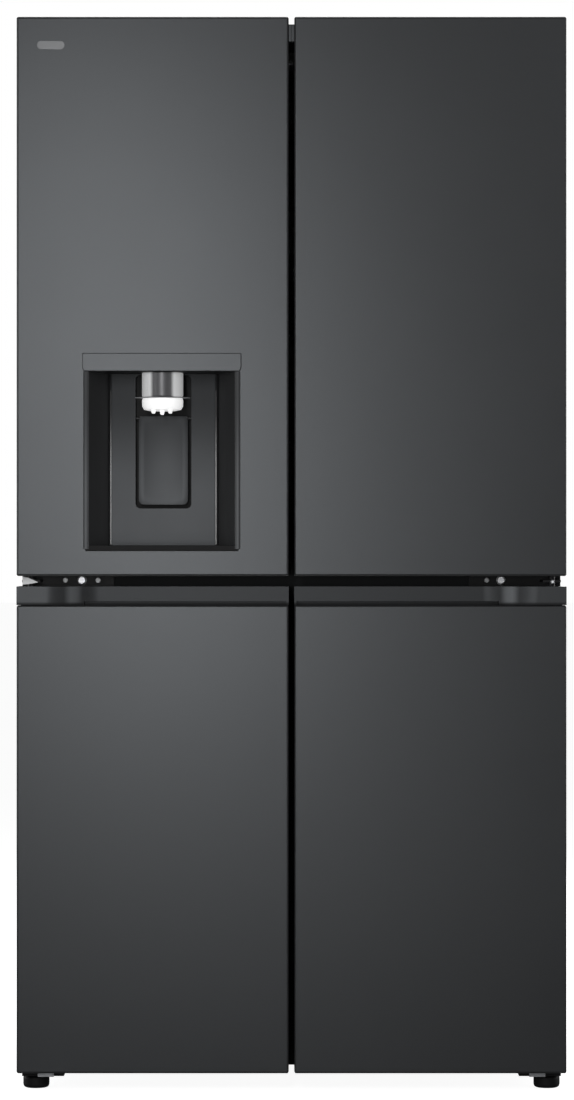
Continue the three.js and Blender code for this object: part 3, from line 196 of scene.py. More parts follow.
COPPER = surface("copper_pipe", (0.62, 0.3, 0.17), 0.32, metal=1.0, vary=0.25, grain=(70, 70, 70), bump=0.06)


def chrome_painted_reflection(middle, radius):
    """Plating on a turned collar with painted reflection: a darker front between two bright flanks, painted
    by the distance from the middle, and a painted glow on the flanks.
    """
    material = surface("chrome_painted_reflection", (0.8, 0.81, 0.82), 0.34, metal=0.25, spec=0.3, vary=0.02, bump=0.01,
                       rough_vary=0.03)
    tree = material.node_tree
    shader = tree.nodes["Principled BSDF"]
    # painted reflection: bright flanks and a darker front by the distance from the collar's middle, with a
    # faint painted glow on the flanks
    away = calculated(tree, "ABSOLUTE", calculated(tree, "SUBTRACT", place_along(tree, "X"), middle))
    painted_flank_highlight = remapped(tree, away, (radius * 0.40, radius * 0.62), (0, 1), smooth=True)
    plain = shader.inputs["Base Color"].links[0].from_socket
    tree.links.new(blended(tree, painted_flank_highlight, (0.10, 0.10, 0.105), plain), shader.inputs["Base Color"])
    tree.links.new(remapped(tree, painted_flank_highlight, (0, 1), (0, 0.2)), shader.inputs["Emission Strength"])
    shader.inputs["Emission Color"].default_value = (1, 1, 1, 1)
    return material


def cool(material):
    """A slightly blue sheen."""
    sheen = material.node_tree.nodes["Principled BSDF"].inputs["Specular Tint"]
    sheen.default_value = (0.93, 0.975, 1.02, 1)


def set_gloss(material, level):
    """The level as the material's gloss, times what was linked to it before."""
    tree = material.node_tree
    gloss = tree.nodes["Principled BSDF"].inputs["Specular IOR Level"]
    if gloss.links:
        level = calculated(tree, "MULTIPLY", gloss.links[0].from_socket, level)
    tree.links.new(level, gloss)


def fade_gloss(material, axis, start, end, near, far):
    """The material's gloss goes from near to far between two places along an axis."""
    tree = material.node_tree
    set_gloss(material, remapped(tree, place_along(tree, axis), (start, end), (near, far), smooth=True))


def shade_before(material, axis, start, end, colour):
    """Another colour on the part of the piece before a place along an axis, gone by the second place."""
    tree = material.node_tree
    base = tree.nodes["Principled BSDF"].inputs["Base Color"]
    before = remapped(tree, place_along(tree, axis), (start, end), (1, 0))
    tree.links.new(blended(tree, before, base.links[0].from_socket, colour), base)


def painted_highlight_bands(material, bands):
    """Painted highlight and shade: bands of stronger or weaker gloss, each a distance from the object's
    middle and a gain, on both sides alike.
    """
    tree = material.node_tree
    ramp = tree.nodes.new("ShaderNodeValToRGB")
    stops = ramp.color_ramp.elements
    while len(stops) < len(bands):
        stops.new(0.5)
    most = max(gain for _, gain in bands)
    for stop, (distance, gain) in zip(stops, bands):
        stop.position = distance
        stop.color = (gain / most, gain / most, gain / most, 1)
    tree.links.new(calculated(tree, "ABSOLUTE", place_along(tree, "X")), ramp.inputs["Fac"])
    set_gloss(material, remapped(tree, ramp.outputs["Color"], (0, 1), (0, most)))


DOOR_MOULD = surface("door_moulding", (0.78, 0.79, 0.8), 0.38, vary=0.015, grain=(6, 6, 6), bump=0.06,
                     rough_vary=0.05, fine=500)
shade_before(DOOR_MOULD, "Y", -0.2617, -0.2616, (0.02, 0.0205, 0.0215))
# Painted shade in the recess and on the paddle: a lighter colour low down that fades out towards the top, and
# less gloss towards the top, under the fascia.
shade_before(RECESS, "Z", 0.93, 1.13, (0.031, 0.0315, 0.033))
fade_gloss(RECESS, "Z", 0.99, 1.15, 0.38, 0.13)
# painted highlight for the raised panel's edges, its gloss fading out towards the top as painted shade under
# the fascia
EDGE_HIGHLIGHT = surface("recess_edge", (0.03, 0.0305, 0.0315), 0.4, vary=0.05, bump=0.03, rough_vary=0.02)
fade_gloss(EDGE_HIGHLIGHT, "Z", 1.03, 1.14, 1.3, 0.15)
# Painted shade on the grip strip: less gloss deeper in, where the upper door shades it.
fade_gloss(STRIP_DARK, "Y", -0.366, -0.346, 0.40, 0.24)
# Painted shadow: a dark band along the grip strip's bottom edge.
fade_gloss(STRIP_DARK, "Z", 0.8105, 0.8155, 0.1, 1.0)
# Painted highlight on the grip's curve, with painted shade in the bands beside it.
painted_highlight_bands(STRIP_DARK, [(0.318, 1.0), (0.348, 0.95), (0.357, 3.7), (0.368, 3.7), (0.378, 0.75), (0.40, 0.7),
                         (0.412, 1.05)])
# Painted shade: the cabinet's front flange, seen in the gaps between the doors, has little gloss so it stays
# dark there.
fade_gloss(CABINET, "Y", -0.2465, -0.235, 0.04, 0.45)
for dark in (STEEL_DARK, STRIP_DARK, RECESS):
    cool(dark)


# ---------------------------------------------------------------- shapes


def finished(name, mesh, material, body):
    """An object in the frame's own place, with its material, riding on a body."""
    piece = bpy.data.objects.new(name, mesh)
    scene.collection.objects.link(piece)
    mesh.materials.clear()
    mesh.materials.append(material)
    for face in mesh.polygons:
        face.use_smooth = True
    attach(piece, body)
    return piece


def soften(piece, width, segments=3):
    """Rounds the edges and keeps flat faces flat."""
    weld = piece.modifiers.new("weld", "WELD")
    weld.merge_threshold = 0.00002
    if width:
        bevel = piece.modifiers.new("bevel", "BEVEL")
        bevel.width = width
        bevel.segments = segments
        bevel.limit_method = "ANGLE"
        bevel.angle_limit = math.radians(30)
        bevel.use_clamp_overlap = True
    split = piece.modifiers.new("split", "EDGE_SPLIT")
    split.split_angle = math.radians(35)
    piece.modifiers.new("normals", "WEIGHTED_NORMAL").keep_sharp = True
    return piece


def add_box(bm, low, high):
    made = bmesh.ops.create_cube(bm, size=1)["verts"]
    size = Vector(high) - Vector(low)
    middle = (Vector(high) + Vector(low)) / 2
    for vert in made:
        vert.co = Vector([vert.co[i] * size[i] + middle[i] for i in range(3)])


def mesh_from(bm, name):
    bmesh.ops.recalc_face_normals(bm, faces=bm.faces)
    mesh = bpy.data.meshes.new(name)
    bm.to_mesh(mesh)
    bm.free()
    return mesh


def boxes(name, spans, material, body, round_by=0.001, segments=3):
    """One piece of several rounded blocks, each given by its two corners."""
    bm = bmesh.new()
    for low, high in spans:
        add_box(bm, [min(a, b) for a, b in zip(low, high)], [max(a, b) for a, b in zip(low, high)])
    soften(finished(name, mesh_from(bm, name), material, body), round_by, segments)


def add_lathe(bm, profile, centre, axis="z", sides=40):
    """Turns [radius, height] points about an axis through centre. A closed profile makes a closed ring."""
    rings = []
    for i in range(sides):
        angle = 2 * math.pi * i / sides
        ring = []
        for radius, height in profile:
            x, y = radius * math.cos(angle), radius * math.sin(angle)
            local = {"z": (x, y, height), "y": (x, height, y), "x": (height, x, y)}[axis]
            ring.append(bm.verts.new(Vector(local) + Vector(centre)))
        rings.append(ring)
    for i in range(sides):
        one, two = rings[i], rings[(i + 1) % sides]
        for k in range(len(profile) - 1):
            bm.faces.new((one[k], two[k], two[k + 1], one[k + 1]))
    bmesh.ops.remove_doubles(bm, verts=[v for ring in rings for v in ring], dist=1e-7)


def lathe(name, profiles, material, body, axis="z", sides=40):
    """One piece of several turned shapes, each a profile and a centre."""
    bm = bmesh.new()
    for profile, centre in profiles:
        add_lathe(bm, profile, centre, axis, sides)
    return soften(finished(name, mesh_from(bm, name), material, body), 0)


def screw_heads(name, centres, axis, out, radius, material, body):
    """Pan-head screws with a round recess in the middle, standing out along axis."""
    bm = bmesh.new()
    dome = [(0, 0.55), (0.22, 0.55), (0.3, 0.9), (0.62, 0.86), (0.86, 0.66), (1.0, 0.3), (1.0, 0.0)]
    for centre in centres:
        add_lathe(bm, [(r * radius, h * radius * 0.62 * out) for r, h in dome], centre, axis, 20)
    soften(finished(name, mesh_from(bm, name), material, body), 0)


def rounded_outline(low, high, radius, steps=6):
    """Corners of a rounded rectangle, anticlockwise, as pairs."""
    points = []
    corners = [(high[0], high[1], 0), (low[0], high[1], 1), (low[0], low[1], 2), (high[0], low[1], 3)]
    for x, z, quarter in corners:
        cx = x - radius if x == high[0] else x + radius
        cz = z - radius if z == high[1] else z + radius
        for i in range(steps + 1):
            angle = (quarter + i / steps) * math.pi / 2
            points.append((cx + radius * math.cos(angle), cz + radius * math.sin(angle)))
    return points


def add_prism(bm, outline, span, axis="y"):
    """An outline raised along an axis: x and z for y, x and y for z, y and z for x."""
    places = {"y": lambda a, b, t: (a, t, b), "z": lambda a, b, t: (a, b, t), "x": lambda a, b, t: (t, a, b)}
    place = places[axis]
    ends = [[bm.verts.new(place(a, b, t)) for a, b in outline] for t in span]
    for i in range(len(outline)):
        k = (i + 1) % len(outline)
        bm.faces.new((ends[0][i], ends[0][k], ends[1][k], ends[1][i]))
    bm.faces.new(ends[0])
    bm.faces.new(ends[1])


def prism(name, outlines, span, material, body, axis="y", round_by=0.001, segments=3):
    bm = bmesh.new()
    for outline in outlines:
        add_prism(bm, outline, span, axis)
    return soften(finished(name, mesh_from(bm, name), material, body), round_by, segments)


def carve(mesh, cutters):
    """The mesh with the cutters' meshes taken out of it."""
    target = bpy.data.objects.new("target", mesh)
    scene.collection.objects.link(target)
    made = []
    for number, cutter in enumerate(cutters):
        tool = bpy.data.objects.new(f"tool_{number}", cutter)
        scene.collection.objects.link(tool)
        made.append(tool)
        change = target.modifiers.new("cut", "BOOLEAN")
        change.operation = "DIFFERENCE"
        change.solver = "EXACT"
        change.object = tool
    bpy.context.view_layer.update()
    result = bpy.data.meshes.new_from_object(target.evaluated_get(bpy.context.evaluated_depsgraph_get()))
    for piece in [target, *made]:
        bpy.data.objects.remove(piece)
    return result


def block_mesh(low, high):
    bm = bmesh.new()
    add_box(bm, low, high)
    return mesh_from(bm, "block")


def prism_mesh(outline, span):
    bm = bmesh.new()
    add_prism(bm, outline, span)
    return mesh_from(bm, "prism")


def thickened(bm, thickness, offset):
    """An open sheet as a solid mesh."""
    holder = bpy.data.objects.new("sheet", mesh_from(bm, "sheet"))
    scene.collection.objects.link(holder)
    thick = holder.modifiers.new("thick", "SOLIDIFY")
    thick.thickness = thickness
    thick.offset = offset
    bpy.context.view_layer.update()
    solid = bpy.data.meshes.new_from_object(holder.evaluated_get(bpy.context.evaluated_depsgraph_get()))
    bpy.data.objects.remove(holder)
    return solid


def tube(name, points, radius, material, body):
    """A bent pipe along a smooth line."""
    curve = bpy.data.curves.new(name, "CURVE")
    curve.dimensions = "3D"
    curve.bevel_depth = radius
    curve.bevel_resolution = 3
    line = curve.splines.new("NURBS")
    line.points.add(len(points) - 1)
    for point, place in zip(line.points, points):
        point.co = (*place, 1)
    line.use_endpoint_u = True
    line.order_u = 3
    piece = bpy.data.objects.new(name, curve)
    scene.collection.objects.link(piece)
    curve.materials.append(material)
    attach(piece, body)


def keep(node, material, round_by=0.0006, segments=2):
    """A CAD node that stays: its material, and softened edges."""
    piece = nodes[node]
    piece.data.materials.clear()
    piece.data.materials.append(material)
    for face in piece.data.polygons:
        face.use_smooth = True
        face.material_index = 0
    soften(piece, round_by, segments)


# ---------------------------------------------------------------- doors


SHEET = 0.0012  # thickness of a door's sheet
SHEET_ROUND = 0.0038


def door_sheet(node, body, notches, hole=None):
    """A folded sheet with rounded edges in the place of a plain CAD one. notches are boxes cut from it."""
    low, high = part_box(node)
    bm = bmesh.new()
    add_box(bm, low, high)
    open_back = [f for f in bm.faces if f.calc_center_median().y > high.y - 1e-5]
    bmesh.ops.delete(bm, geom=open_back, context="FACES")
    edges = [e for e in bm.edges if not all(abs(v.co.y - high.y) < 1e-5 for v in e.verts)]
    bmesh.ops.bevel(bm, geom=edges, offset=SHEET_ROUND, segments=6, affect="EDGES", profile=0.5,
                    clamp_overlap=True)
    tools = [block_mesh(a, b) for a, b in notches]
    if hole:
        tools.append(prism_mesh(hole, (low.y - 0.01, low.y + 0.02)))
    solid = carve(thickened(bm, SHEET, -1), tools)
    piece = soften(finished(node + "_sheet", solid, STEEL_DARK, body), 0)
    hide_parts(node)


def notch(node, bottom_lip, top_lip, cap_top):
    """What is cut from a sheet's ends: all but a narrow lip."""
    low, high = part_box(node)
    wide = 0.01
    return [
        ((low.x - wide, low.y + bottom_lip, low.z - wide), (high.x + wide, high.y + wide, low.z + 0.0013)),
        ((low.x - wide, low.y + top_lip, cap_top), (high.x + wide, high.y + wide, high.z + wide)),
    ]


housing_low, housing_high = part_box("dispenser_housing")
fascia_low, fascia_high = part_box("dispenser_fascia")
spout_low, spout_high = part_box("dispenser_spout")
paddle_low, paddle_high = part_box("dispenser_paddle")
RECESS_EDGE = 0.0086  # width of the frame round the recess
open_low = Vector((housing_low.x + RECESS_EDGE, housing_low.y, housing_low.z + RECESS_EDGE / 2))
open_high = Vector((housing_high.x - RECESS_EDGE, 0, fascia_low.z - 0.0003))
recess_middle = (spout_low.x + spout_high.x) / 2
for side in (-1, 1):
    # painted light: the walls beside the raised panel get a lighter colour than the rest of the recess
    shade_before(RECESS, "X", recess_middle + side * 0.0945, recess_middle + side * 0.0925,
                 (0.047, 0.048, 0.0495))

for hand in ("left", "right"):
    upper, lower = f"upper_{hand}_skin", f"lower_{hand}_skin"
    upper_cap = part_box(f"upper_{hand}_liner")[1].z + 0.0001
    lower_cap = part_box(lower)[1].z - 0.0013
    opening = None
    if hand == "left":
        opening = rounded_outline((housing_low.x + 0.0022, housing_low.z + 0.0006),
                                  (housing_high.x - 0.0022, fascia_high.z - 0.006), 0.002)
    door_sheet(upper, f"upper_{hand}_door", notch(upper, 0.004, 0.010, upper_cap), opening)
    door_sheet(lower, f"lower_{hand}_door", notch(lower, 0.004, 0.0049, lower_cap))
    keep(f"upper_{hand}_liner", DOOR_MOULD, 0.0012, 3)
    keep(f"lower_{hand}_liner", DOOR_MOULD, 0.0012, 3)
    keep(f"lower_{hand}_grip", STRIP_DARK, 0.0006, 3)
    keep(f"upper_{hand}_gasket", SEAL, 0.0025, 4)
    keep(f"lower_{hand}_gasket", SEAL, 0.0025, 4)

# ---------------------------------------------------------------- dispenser


PANEL_FACE = -0.279  # front of the raised panel at the recess's back
PANEL_HALF = 0.0885
CHANNEL_HALF = 0.047


def recess_outline():
    """Half of the recess's section, from the door's face to the raised panel: x from the middle, then y."""
    face, back, panel = housing_low.y, PANEL_FACE, PANEL_HALF
    half = (open_high.x - open_low.x) / 2
    return [
        (half + RECESS_EDGE, face + 0.0014),
        (half + RECESS_EDGE - 0.0008, face + 0.0003),
        (half + RECESS_EDGE - 0.002, face),
        (half + 0.003, face),
        (half + 0.001, face + 0.0008),
        (half, face + 0.003),
        (half - 0.004, face + 0.022),
        (half - 0.012, face + 0.055),
        (half - 0.019, face + 0.078),
        (panel + 0.0046, back + 0.0062),
        (panel + 0.0036, back + 0.0062),
        (panel + 0.0032, back + 0.0040),
        (panel + 0.0024, back + 0.0022),
        (panel + 0.0010, back + 0.0009),
        (panel - 0.0010, back + 0.0002),
        (panel - 0.0030, back),
        (0, back),
    ]


def recess_shell():
    """The recess's walls as one sheet, with its floor and ceiling."""
    half = recess_outline()
    line = [(recess_middle - x, y) for x, y in half]
    line += [(recess_middle + x, y) for x, y in reversed(half[:-1])]
    low, high = open_low.z, open_high.z
    bm = bmesh.new()
    columns = [[bm.verts.new((x, y, z)) for z in (low, high)] for x, y in line]
    for one, two in zip(columns, columns[1:]):
        bm.faces.new((one[0], two[0], two[1], one[1]))
    inner = columns[5:-5]
    bm.faces.new([column[0] for column in inner])
    bm.faces.new([column[1] for column in inner])
    return thickened(bm, 0.0018, 0)


channel_low = paddle_low.z - 0.0044


def channel_outline(wider, lower, top_gap, radius):
    """The channel behind the paddle, seen from the front, with its sides and bottom moved outwards."""
    half = CHANNEL_HALF + wider
    return rounded_outline((recess_middle - half, channel_low - lower),
                           (recess_middle + half, open_high.z - top_gap), radius)


recess = carve(recess_shell(), [prism_mesh(channel_outline(0, 0, 0.002, 0.0085), (-0.292, -0.262))])
housing = soften(finished("recess_walls", recess, RECESS, "upper_left_door"), 0)
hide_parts("dispenser_housing")


def channel_box():
    """The channel behind the paddle: side walls and a back."""
    outer = channel_outline(0.0012, 0.0012, 0.001, 0.0095)
    inner = channel_outline(-0.0002, 0, 0.002, 0.0085)
    return carve(prism_mesh(outer, (-0.2785, -0.2575)), [prism_mesh(inner, (-0.29, -0.259))])


# Painted highlight on the raised panel's edges: slim lighter bars with strong gloss, fading towards the top.
HIGHLIGHT_TOP = 1.17
highlight_bars = []
for side in (-1, 1):
    x = recess_middle + side * PANEL_HALF
    highlight_bars.append(((x - 0.0016, PANEL_FACE - 0.0006, open_low.z + 0.0068),
                  (x + 0.0016, PANEL_FACE + 0.0014, HIGHLIGHT_TOP)))
boxes("recess_panel_edge_highlights", highlight_bars, EDGE_HIGHLIGHT, "upper_left_door", 0.0009)

# The channel behind the paddle in the near-black moulding: painted shade.
soften(finished("paddle_channel", channel_box(), PAINTED_SHADE, "upper_left_door"), 0)

# Painted shadow under the opening: a near-black strip, wider at the bottom; and the drip tray's grille on the
# recess's floor.
shadow_strip = [(housing_low.x + 0.0022, housing_low.z + 0.0008), (housing_high.x - 0.0022, housing_low.z + 0.0008),
        (open_high.x + 0.0010, open_low.z + 0.0062), (open_low.x - 0.0010, open_low.z + 0.0062)]
prism("recess_shadow_strip", [shadow_strip], (housing_low.y + 0.0016, housing_low.y + 0.012), PAINTED_SHADE, "upper_left_door",
      round_by=0.0008)
bars = []
for i in range(9):
    y = housing_low.y + 0.014 + i * 0.0085
    half = (open_high.x - open_low.x) / 2 - 0.010 - i * 0.0023
    bars.append(((recess_middle - half, y, open_low.z + 0.0012),
                 (recess_middle + half, y + 0.0035, open_low.z + 0.0046)))
boxes("drip_tray_grille", bars, BLACK, "upper_left_door", 0.0008)

# Steel edges of the frame on both sides of the opening.
sides = ((housing_low.x + 0.0022, open_low.x - 0.0012), (open_high.x + 0.0012, housing_high.x - 0.0022))
edges = [((a, housing_low.y - 0.0002, open_low.z + 0.004), (b, housing_low.y + 0.0008, fascia_low.z - 0.0004))
         for a, b in sides]
boxes("recess_edges", edges, STEEL_DARK, "upper_left_door", 0.0005)

# Control fascia: a long bar with rounded ends that tapers a little underneath.
fascia_line = [(fascia_low.x + 0.0035, fascia_low.z), (fascia_low.x + 0.0012, fascia_low.z + 0.0022),
               (fascia_low.x, fascia_low.z + 0.006), (fascia_low.x, fascia_high.z),
               (fascia_high.x, fascia_high.z), (fascia_high.x, fascia_low.z + 0.006),
               (fascia_high.x - 0.0012, fascia_low.z + 0.0022), (fascia_high.x - 0.0035, fascia_low.z)]
fascia = prism("fascia_bar", [fascia_line], (fascia_low.y, fascia_low.y + 0.0036), STEEL_DARK,
               "upper_left_door", round_by=0.0012, segments=4)
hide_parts("dispenser_fascia")
boxes("fascia_underside", [((open_low.x + 0.002, DOOR_FACE + 0.001, fascia_low.z + 0.003),
                            (open_high.x - 0.002, DOOR_FACE + 0.026, fascia_high.z - 0.006))],
      BLACK, "upper_left_door", 0.0008)

# Spout: a collar with painted reflection over a lit ring with three nozzles, and the guide plate between
# them.
centre = (recess_middle, (spout_low.y + spout_high.y) / 2, 0)
radius = (spout_high.x - spout_low.x) / 2
ring_top = spout_low.z + 0.0225
PAINTED_REFLECTION_CHROME = chrome_painted_reflection(centre[0], radius)
collar = [(radius - 0.009, ring_top + 0.002), (radius - 0.001, ring_top + 0.002), (radius, ring_top + 0.004),
          (radius, spout_high.z - 0.001), (radius - 0.002, spout_high.z), (radius - 0.009, spout_high.z),
          (radius - 0.009, ring_top + 0.002)]
spout = lathe("spout_collar", [(collar, centre)], PAINTED_REFLECTION_CHROME, "upper_left_door", sides=64)
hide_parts("dispenser_spout")
band = [(radius * 0.24, ring_top), (radius * 0.96, ring_top), (radius * 1.0, ring_top - 0.004),
        (radius * 0.99, ring_top - 0.014), (radius * 0.9, ring_top - 0.0195),
        (radius * 0.62, ring_top - 0.0215),
        (radius * 0.5, ring_top - 0.0195), (radius * 0.24, ring_top - 0.0195), (radius * 0.24, ring_top)]
lathe("spout_lit_ring", [(band, centre)], LIT_WHITE, "upper_left_door", sides=64)
nozzles = []
for x, drop in ((-0.0145, 0.004), (0, 0.0062), (0.0135, 0.004)):
    profile = [(0, spout_low.z - drop), (0.0022, spout_low.z - drop), (0.0034, spout_low.z - drop + 0.002),
               (0.0045, spout_low.z + 0.006), (0, spout_low.z + 0.006)]
    nozzles.append((profile, (centre[0] + x, centre[1] - radius * 0.62, 0)))
lathe("spout_nozzles", nozzles, LIT_WHITE, "upper_left_door", sides=20)
plate = [(centre[0] + 0.0465 * math.cos(a), centre[1] + 0.037 * math.sin(a))
         for a in (i * math.pi / 24 for i in range(48))]
prism("spout_guide", [plate], (ring_top - 0.0004, ring_top + 0.0010), WING, "upper_left_door",
      axis="z", round_by=0.0006)


def rounded_place(u, v, half, tall, corner):
    """A point of a grid from -1 to 1 both ways, squeezed onto a plate with rounded corners."""
    x, z = u * half, v * tall
    dx, dz = abs(x) - (half - corner), abs(z) - (tall - corner)
    if dx > 0 and dz > 0:
        scale = max(dx, dz) / math.hypot(dx, dz)
        x = math.copysign(half - corner + dx * scale, x)
        z = math.copysign(tall - corner + dz * scale, z)
    return x, z


def paddle_grid(bm, wide, tall):
    """The paddle's front in columns of points, hollowed a little down its middle."""
    half = CHANNEL_HALF - 0.0056
    bottom, top = paddle_low.z + 0.0022, paddle_high.z
    grid = []
    for i in range(wide + 1):
        column = []
        for k in range(tall + 1):
            u, v = i / wide * 2 - 1, k / tall * 2 - 1
            x, z = rounded_place(u, v, half, (top - bottom) / 2, 0.008)
            dish = 0.0024 * (1 - u * u) * (1 - abs(v) ** 6)
            edge = 0.0012 * max(0, (max(abs(u), abs(v)) - 0.93) / 0.07) ** 2
            place = (recess_middle + x, paddle_low.y + dish + edge, (bottom + top) / 2 + z)
            column.append(bm.verts.new(place))
        grid.append(column)
    return grid


def paddle_mesh():
    """A rounded plate with a flat back."""
    bm = bmesh.new()
    wide, tall = 16, 24
    grid = paddle_grid(bm, wide, tall)
    for i in range(wide):
        for k in range(tall):
            bm.faces.new((grid[i][k], grid[i + 1][k], grid[i + 1][k + 1], grid[i][k + 1]))
    border = [e for e in bm.edges if e.is_boundary]
    made = bmesh.ops.extrude_edge_only(bm, edges=border)["geom"]
    for vert in [g for g in made if isinstance(g, bmesh.types.BMVert)]:
        vert.co.y = paddle_low.y + 0.0048
    bmesh.ops.holes_fill(bm, edges=[e for e in bm.edges if e.is_boundary])
    return mesh_from(bm, "paddle")


paddle = soften(finished("paddle_plate", paddle_mesh(), RECESS, "dispenser_paddle"), 0)
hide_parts("dispenser_paddle")
axle_z = paddle_high.z - 0.0035
bm = bmesh.new()
add_lathe(bm, [(0, -0.0465), (0.0022, -0.0465), (0.0022, 0.0465), (0, 0.0465)],
          (recess_middle, paddle_low.y + 0.0085, axle_z), "x", 16)
add_box(bm, (recess_middle - 0.040, paddle_low.y + 0.0046, axle_z - 0.003),
        (recess_middle + 0.040, paddle_low.y + 0.0105, axle_z + 0.003))
axle = finished("paddle_axle", mesh_from(bm, "axle"), BLACK, "dispenser_paddle")
soften(axle, 0.0004, 2)

# Small caps that close the top of the gap between the upper doors, half on each door.
for hand, edge, tip in (("left", -0.0046, -0.0002), ("right", 0.0046, 0.0002)):
    low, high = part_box(f"upper_{hand}_skin")
    cap = ((edge, low.y + 0.006, high.z - 0.0405), (tip, low.y + 0.016, high.z - 0.0132))
    boxes(f"gap_cap_{hand}", [cap], STEEL_DARK, f"upper_{hand}_door", 0.0002, 2)

# Plain badge in the upper left corner.
skin_low, skin_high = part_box("upper_left_skin")
badge = rounded_outline((skin_low.x + 0.034, skin_high.z - 0.0545),
                        (skin_low.x + 0.080, skin_high.z - 0.0405), 0.0069, 8)
prism("badge", [badge], (skin_low.y - 0.0006, skin_low.y + 0.0003), BADGE, "upper_left_door",
      round_by=0.0003, segments=2)

# ---------------------------------------------------------------- door fittings

for name in ("bin_left", "bin_right_top", "bin_right_middle", "bin_right_bottom"):
    keep(name, CLEAR, 0.0012, 3)
    body = "upper_left_door" if name == "bin_left" else "upper_right_door"
    low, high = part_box(name)
    # bright rail along the edge that faces the room, with ribs below it
    rail = ((low.x + 0.0005, high.y - 0.0042, high.z - 0.016),
            (high.x - 0.0005, high.y + 0.0012, high.z + 0.0012))
    boxes(name + "_rail", [rail], PLATED, body, 0.0012)
    ribs = [((low.x + 0.02, high.y - 0.0001, low.z + 0.02 + i * 0.012),
             (high.x - 0.02, high.y + 0.0008, low.z + 0.024 + i * 0.012)) for i in range(3)]
    boxes(name + "_ribs", ribs, CLEAR, body, 0.0004, 2)

keep("ice_box", WHITE, 0.002, 3)
low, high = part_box("ice_box")
face = high.y
middle = (low.z + high.z) / 2
frame_outline = rounded_outline((low.x + 0.012, low.z + 0.012), (high.x - 0.012, high.z - 0.012), 0.014)
prism("ice_door", [frame_outline], (face + 0.0002, face + 0.0062), WHITE, "upper_left_door",
      round_by=0.002)
latch = [((high.x - 0.052, face + 0.006, middle - 0.036), (high.x - 0.030, face + 0.014, middle + 0.036)),
         ((high.x - 0.049, face + 0.0135, middle - 0.028), (high.x - 0.033, face + 0.0155, middle + 0.028))]
boxes("ice_door_latch", latch, SEAL, "upper_left_door", 0.0015)
vents = [((low.x + 0.045 + k * 0.012, face + 0.0058, low.z + 0.03),
          (low.x + 0.050 + k * 0.012, face + 0.0072, low.z + 0.085)) for k in range(14)]
boxes("ice_door_vents", vents, SEAL, "upper_left_door", 0.0006, 2)

keep("mullion", BLACK, 0.002, 3)
low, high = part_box("mullion")
plate = ((low.x - 0.0004, low.y + 0.012, low.z + 0.02), (low.x + 0.0012, high.y - 0.006, high.z - 0.02))
boxes("mullion_face", [plate], PLATED, "mullion", 0.0004, 2)

# ---------------------------------------------------------------- hinges

LARGE_HEAD = [(0, -0.006), (0.0056, -0.006), (0.0064, -0.005), (0.0066, -0.003), (0.0080, -0.0020),
              (0.0080, 0), (0, 0)]
SMALL_HEAD = [(0, -0.004), (0.0038, -0.004), (0.0045, -0.0032), (0.0045, 0), (0, 0)]


def mid_hinge_bolts(hand, side, small_places):
    """A large bolt and smaller ones, in the gap between the doors."""
    low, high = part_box(f"mid_hinge_{hand}")
    flange_front = high.y - 0.0032
    level = (low.z + high.z) / 2 + 0.001
    large = [([(r, flange_front + y) for r, y in LARGE_HEAD], (side * 0.354, 0, level))]
    lathe(f"mid_hinge_bolt_{hand}", large, BOLT, "cabinet", axis="y", sides=36)
    small = [([(r, flange_front + y) for r, y in SMALL_HEAD], (side * x, 0, level)) for x in small_places]
    lathe(f"mid_hinge_small_bolts_{hand}", small, SMALL_BOLT, "cabinet", axis="y", sides=36)


def closing_cam():
    low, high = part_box("mid_hinge_left")
    middle = (low.z + high.z) / 2
    cam = [(0.001, -0.0058), (0.010, -0.0050), (0.026, -0.0024), (0.026, -0.0012), (0.010, 0.0058),
           (0.001, 0.0076)]
    cam = [(low.x + x, middle + z) for x, z in cam]
    prism("closing_cam", [cam], (low.y - 0.0008, low.y - 0.0001), WHITE, "cabinet",
          round_by=0.0002)


def hinge_stop():
    low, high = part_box("mid_hinge_right")
    shape = [(0, -0.003), (0.0022, -0.003), (0.0036, -0.0014), (0.004, 0), (0, 0)]
    stop = [(shape, (0.436, low.y, (low.z + high.z) / 2 - 0.001))]
    lathe("hinge_stop", stop, BOLT, "cabinet", axis="y", sides=24)


def hinge_screws(hand, side):
    low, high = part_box(f"top_hinge_{hand}")
    outer = high.x if side > 0 else low.x
    heads = [(outer - side * (0.018 + i * 0.026), high.y - 0.09 + k * 0.06, high.z)
             for i in (0, 1) for k in (0, 1)]
    screw_heads(f"top_hinge_screws_{hand}", heads, "z", 1, 0.0058, PLATED, "cabinet")
    low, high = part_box(f"bottom_hinge_{hand}")
    heads = [(low.x + 0.014 + i * 0.021, high.y - 0.0032, high.z - 0.012) for i in range(3)]
    screw_heads(f"bottom_hinge_screws_{hand}", heads, "y", -1, 0.0052, PLATED, "cabinet")


for hand, side, small_places in (("left", -1, (0.382, 0.327)), ("right", 1, (0.330,))):
    for place in ("top", "mid", "bottom"):
        keep(f"{place}_hinge_{hand}", HINGE_DARK, 0.0008, 3)
    mid_hinge_bolts(hand, side, small_places)
    if hand == "left":
        closing_cam()
    else:
        hinge_stop()
    hinge_screws(hand, side)
    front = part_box(f"bottom_hinge_{hand}")[0].y
    collar = ((side * 0.424, front - 0.0007, 0.0207), (side * 0.397, front + 0.001, 0.0305))
    boxes(f"foot_collar_{hand}", [collar], GALVANISED, "cabinet", 0.0004)
    keep(f"foot_{hand}", RUBBER, 0.003, 4)
    keep(f"roller_{hand}", BLACK, 0.0012, 3)

# ---------------------------------------------------------------- cabinet

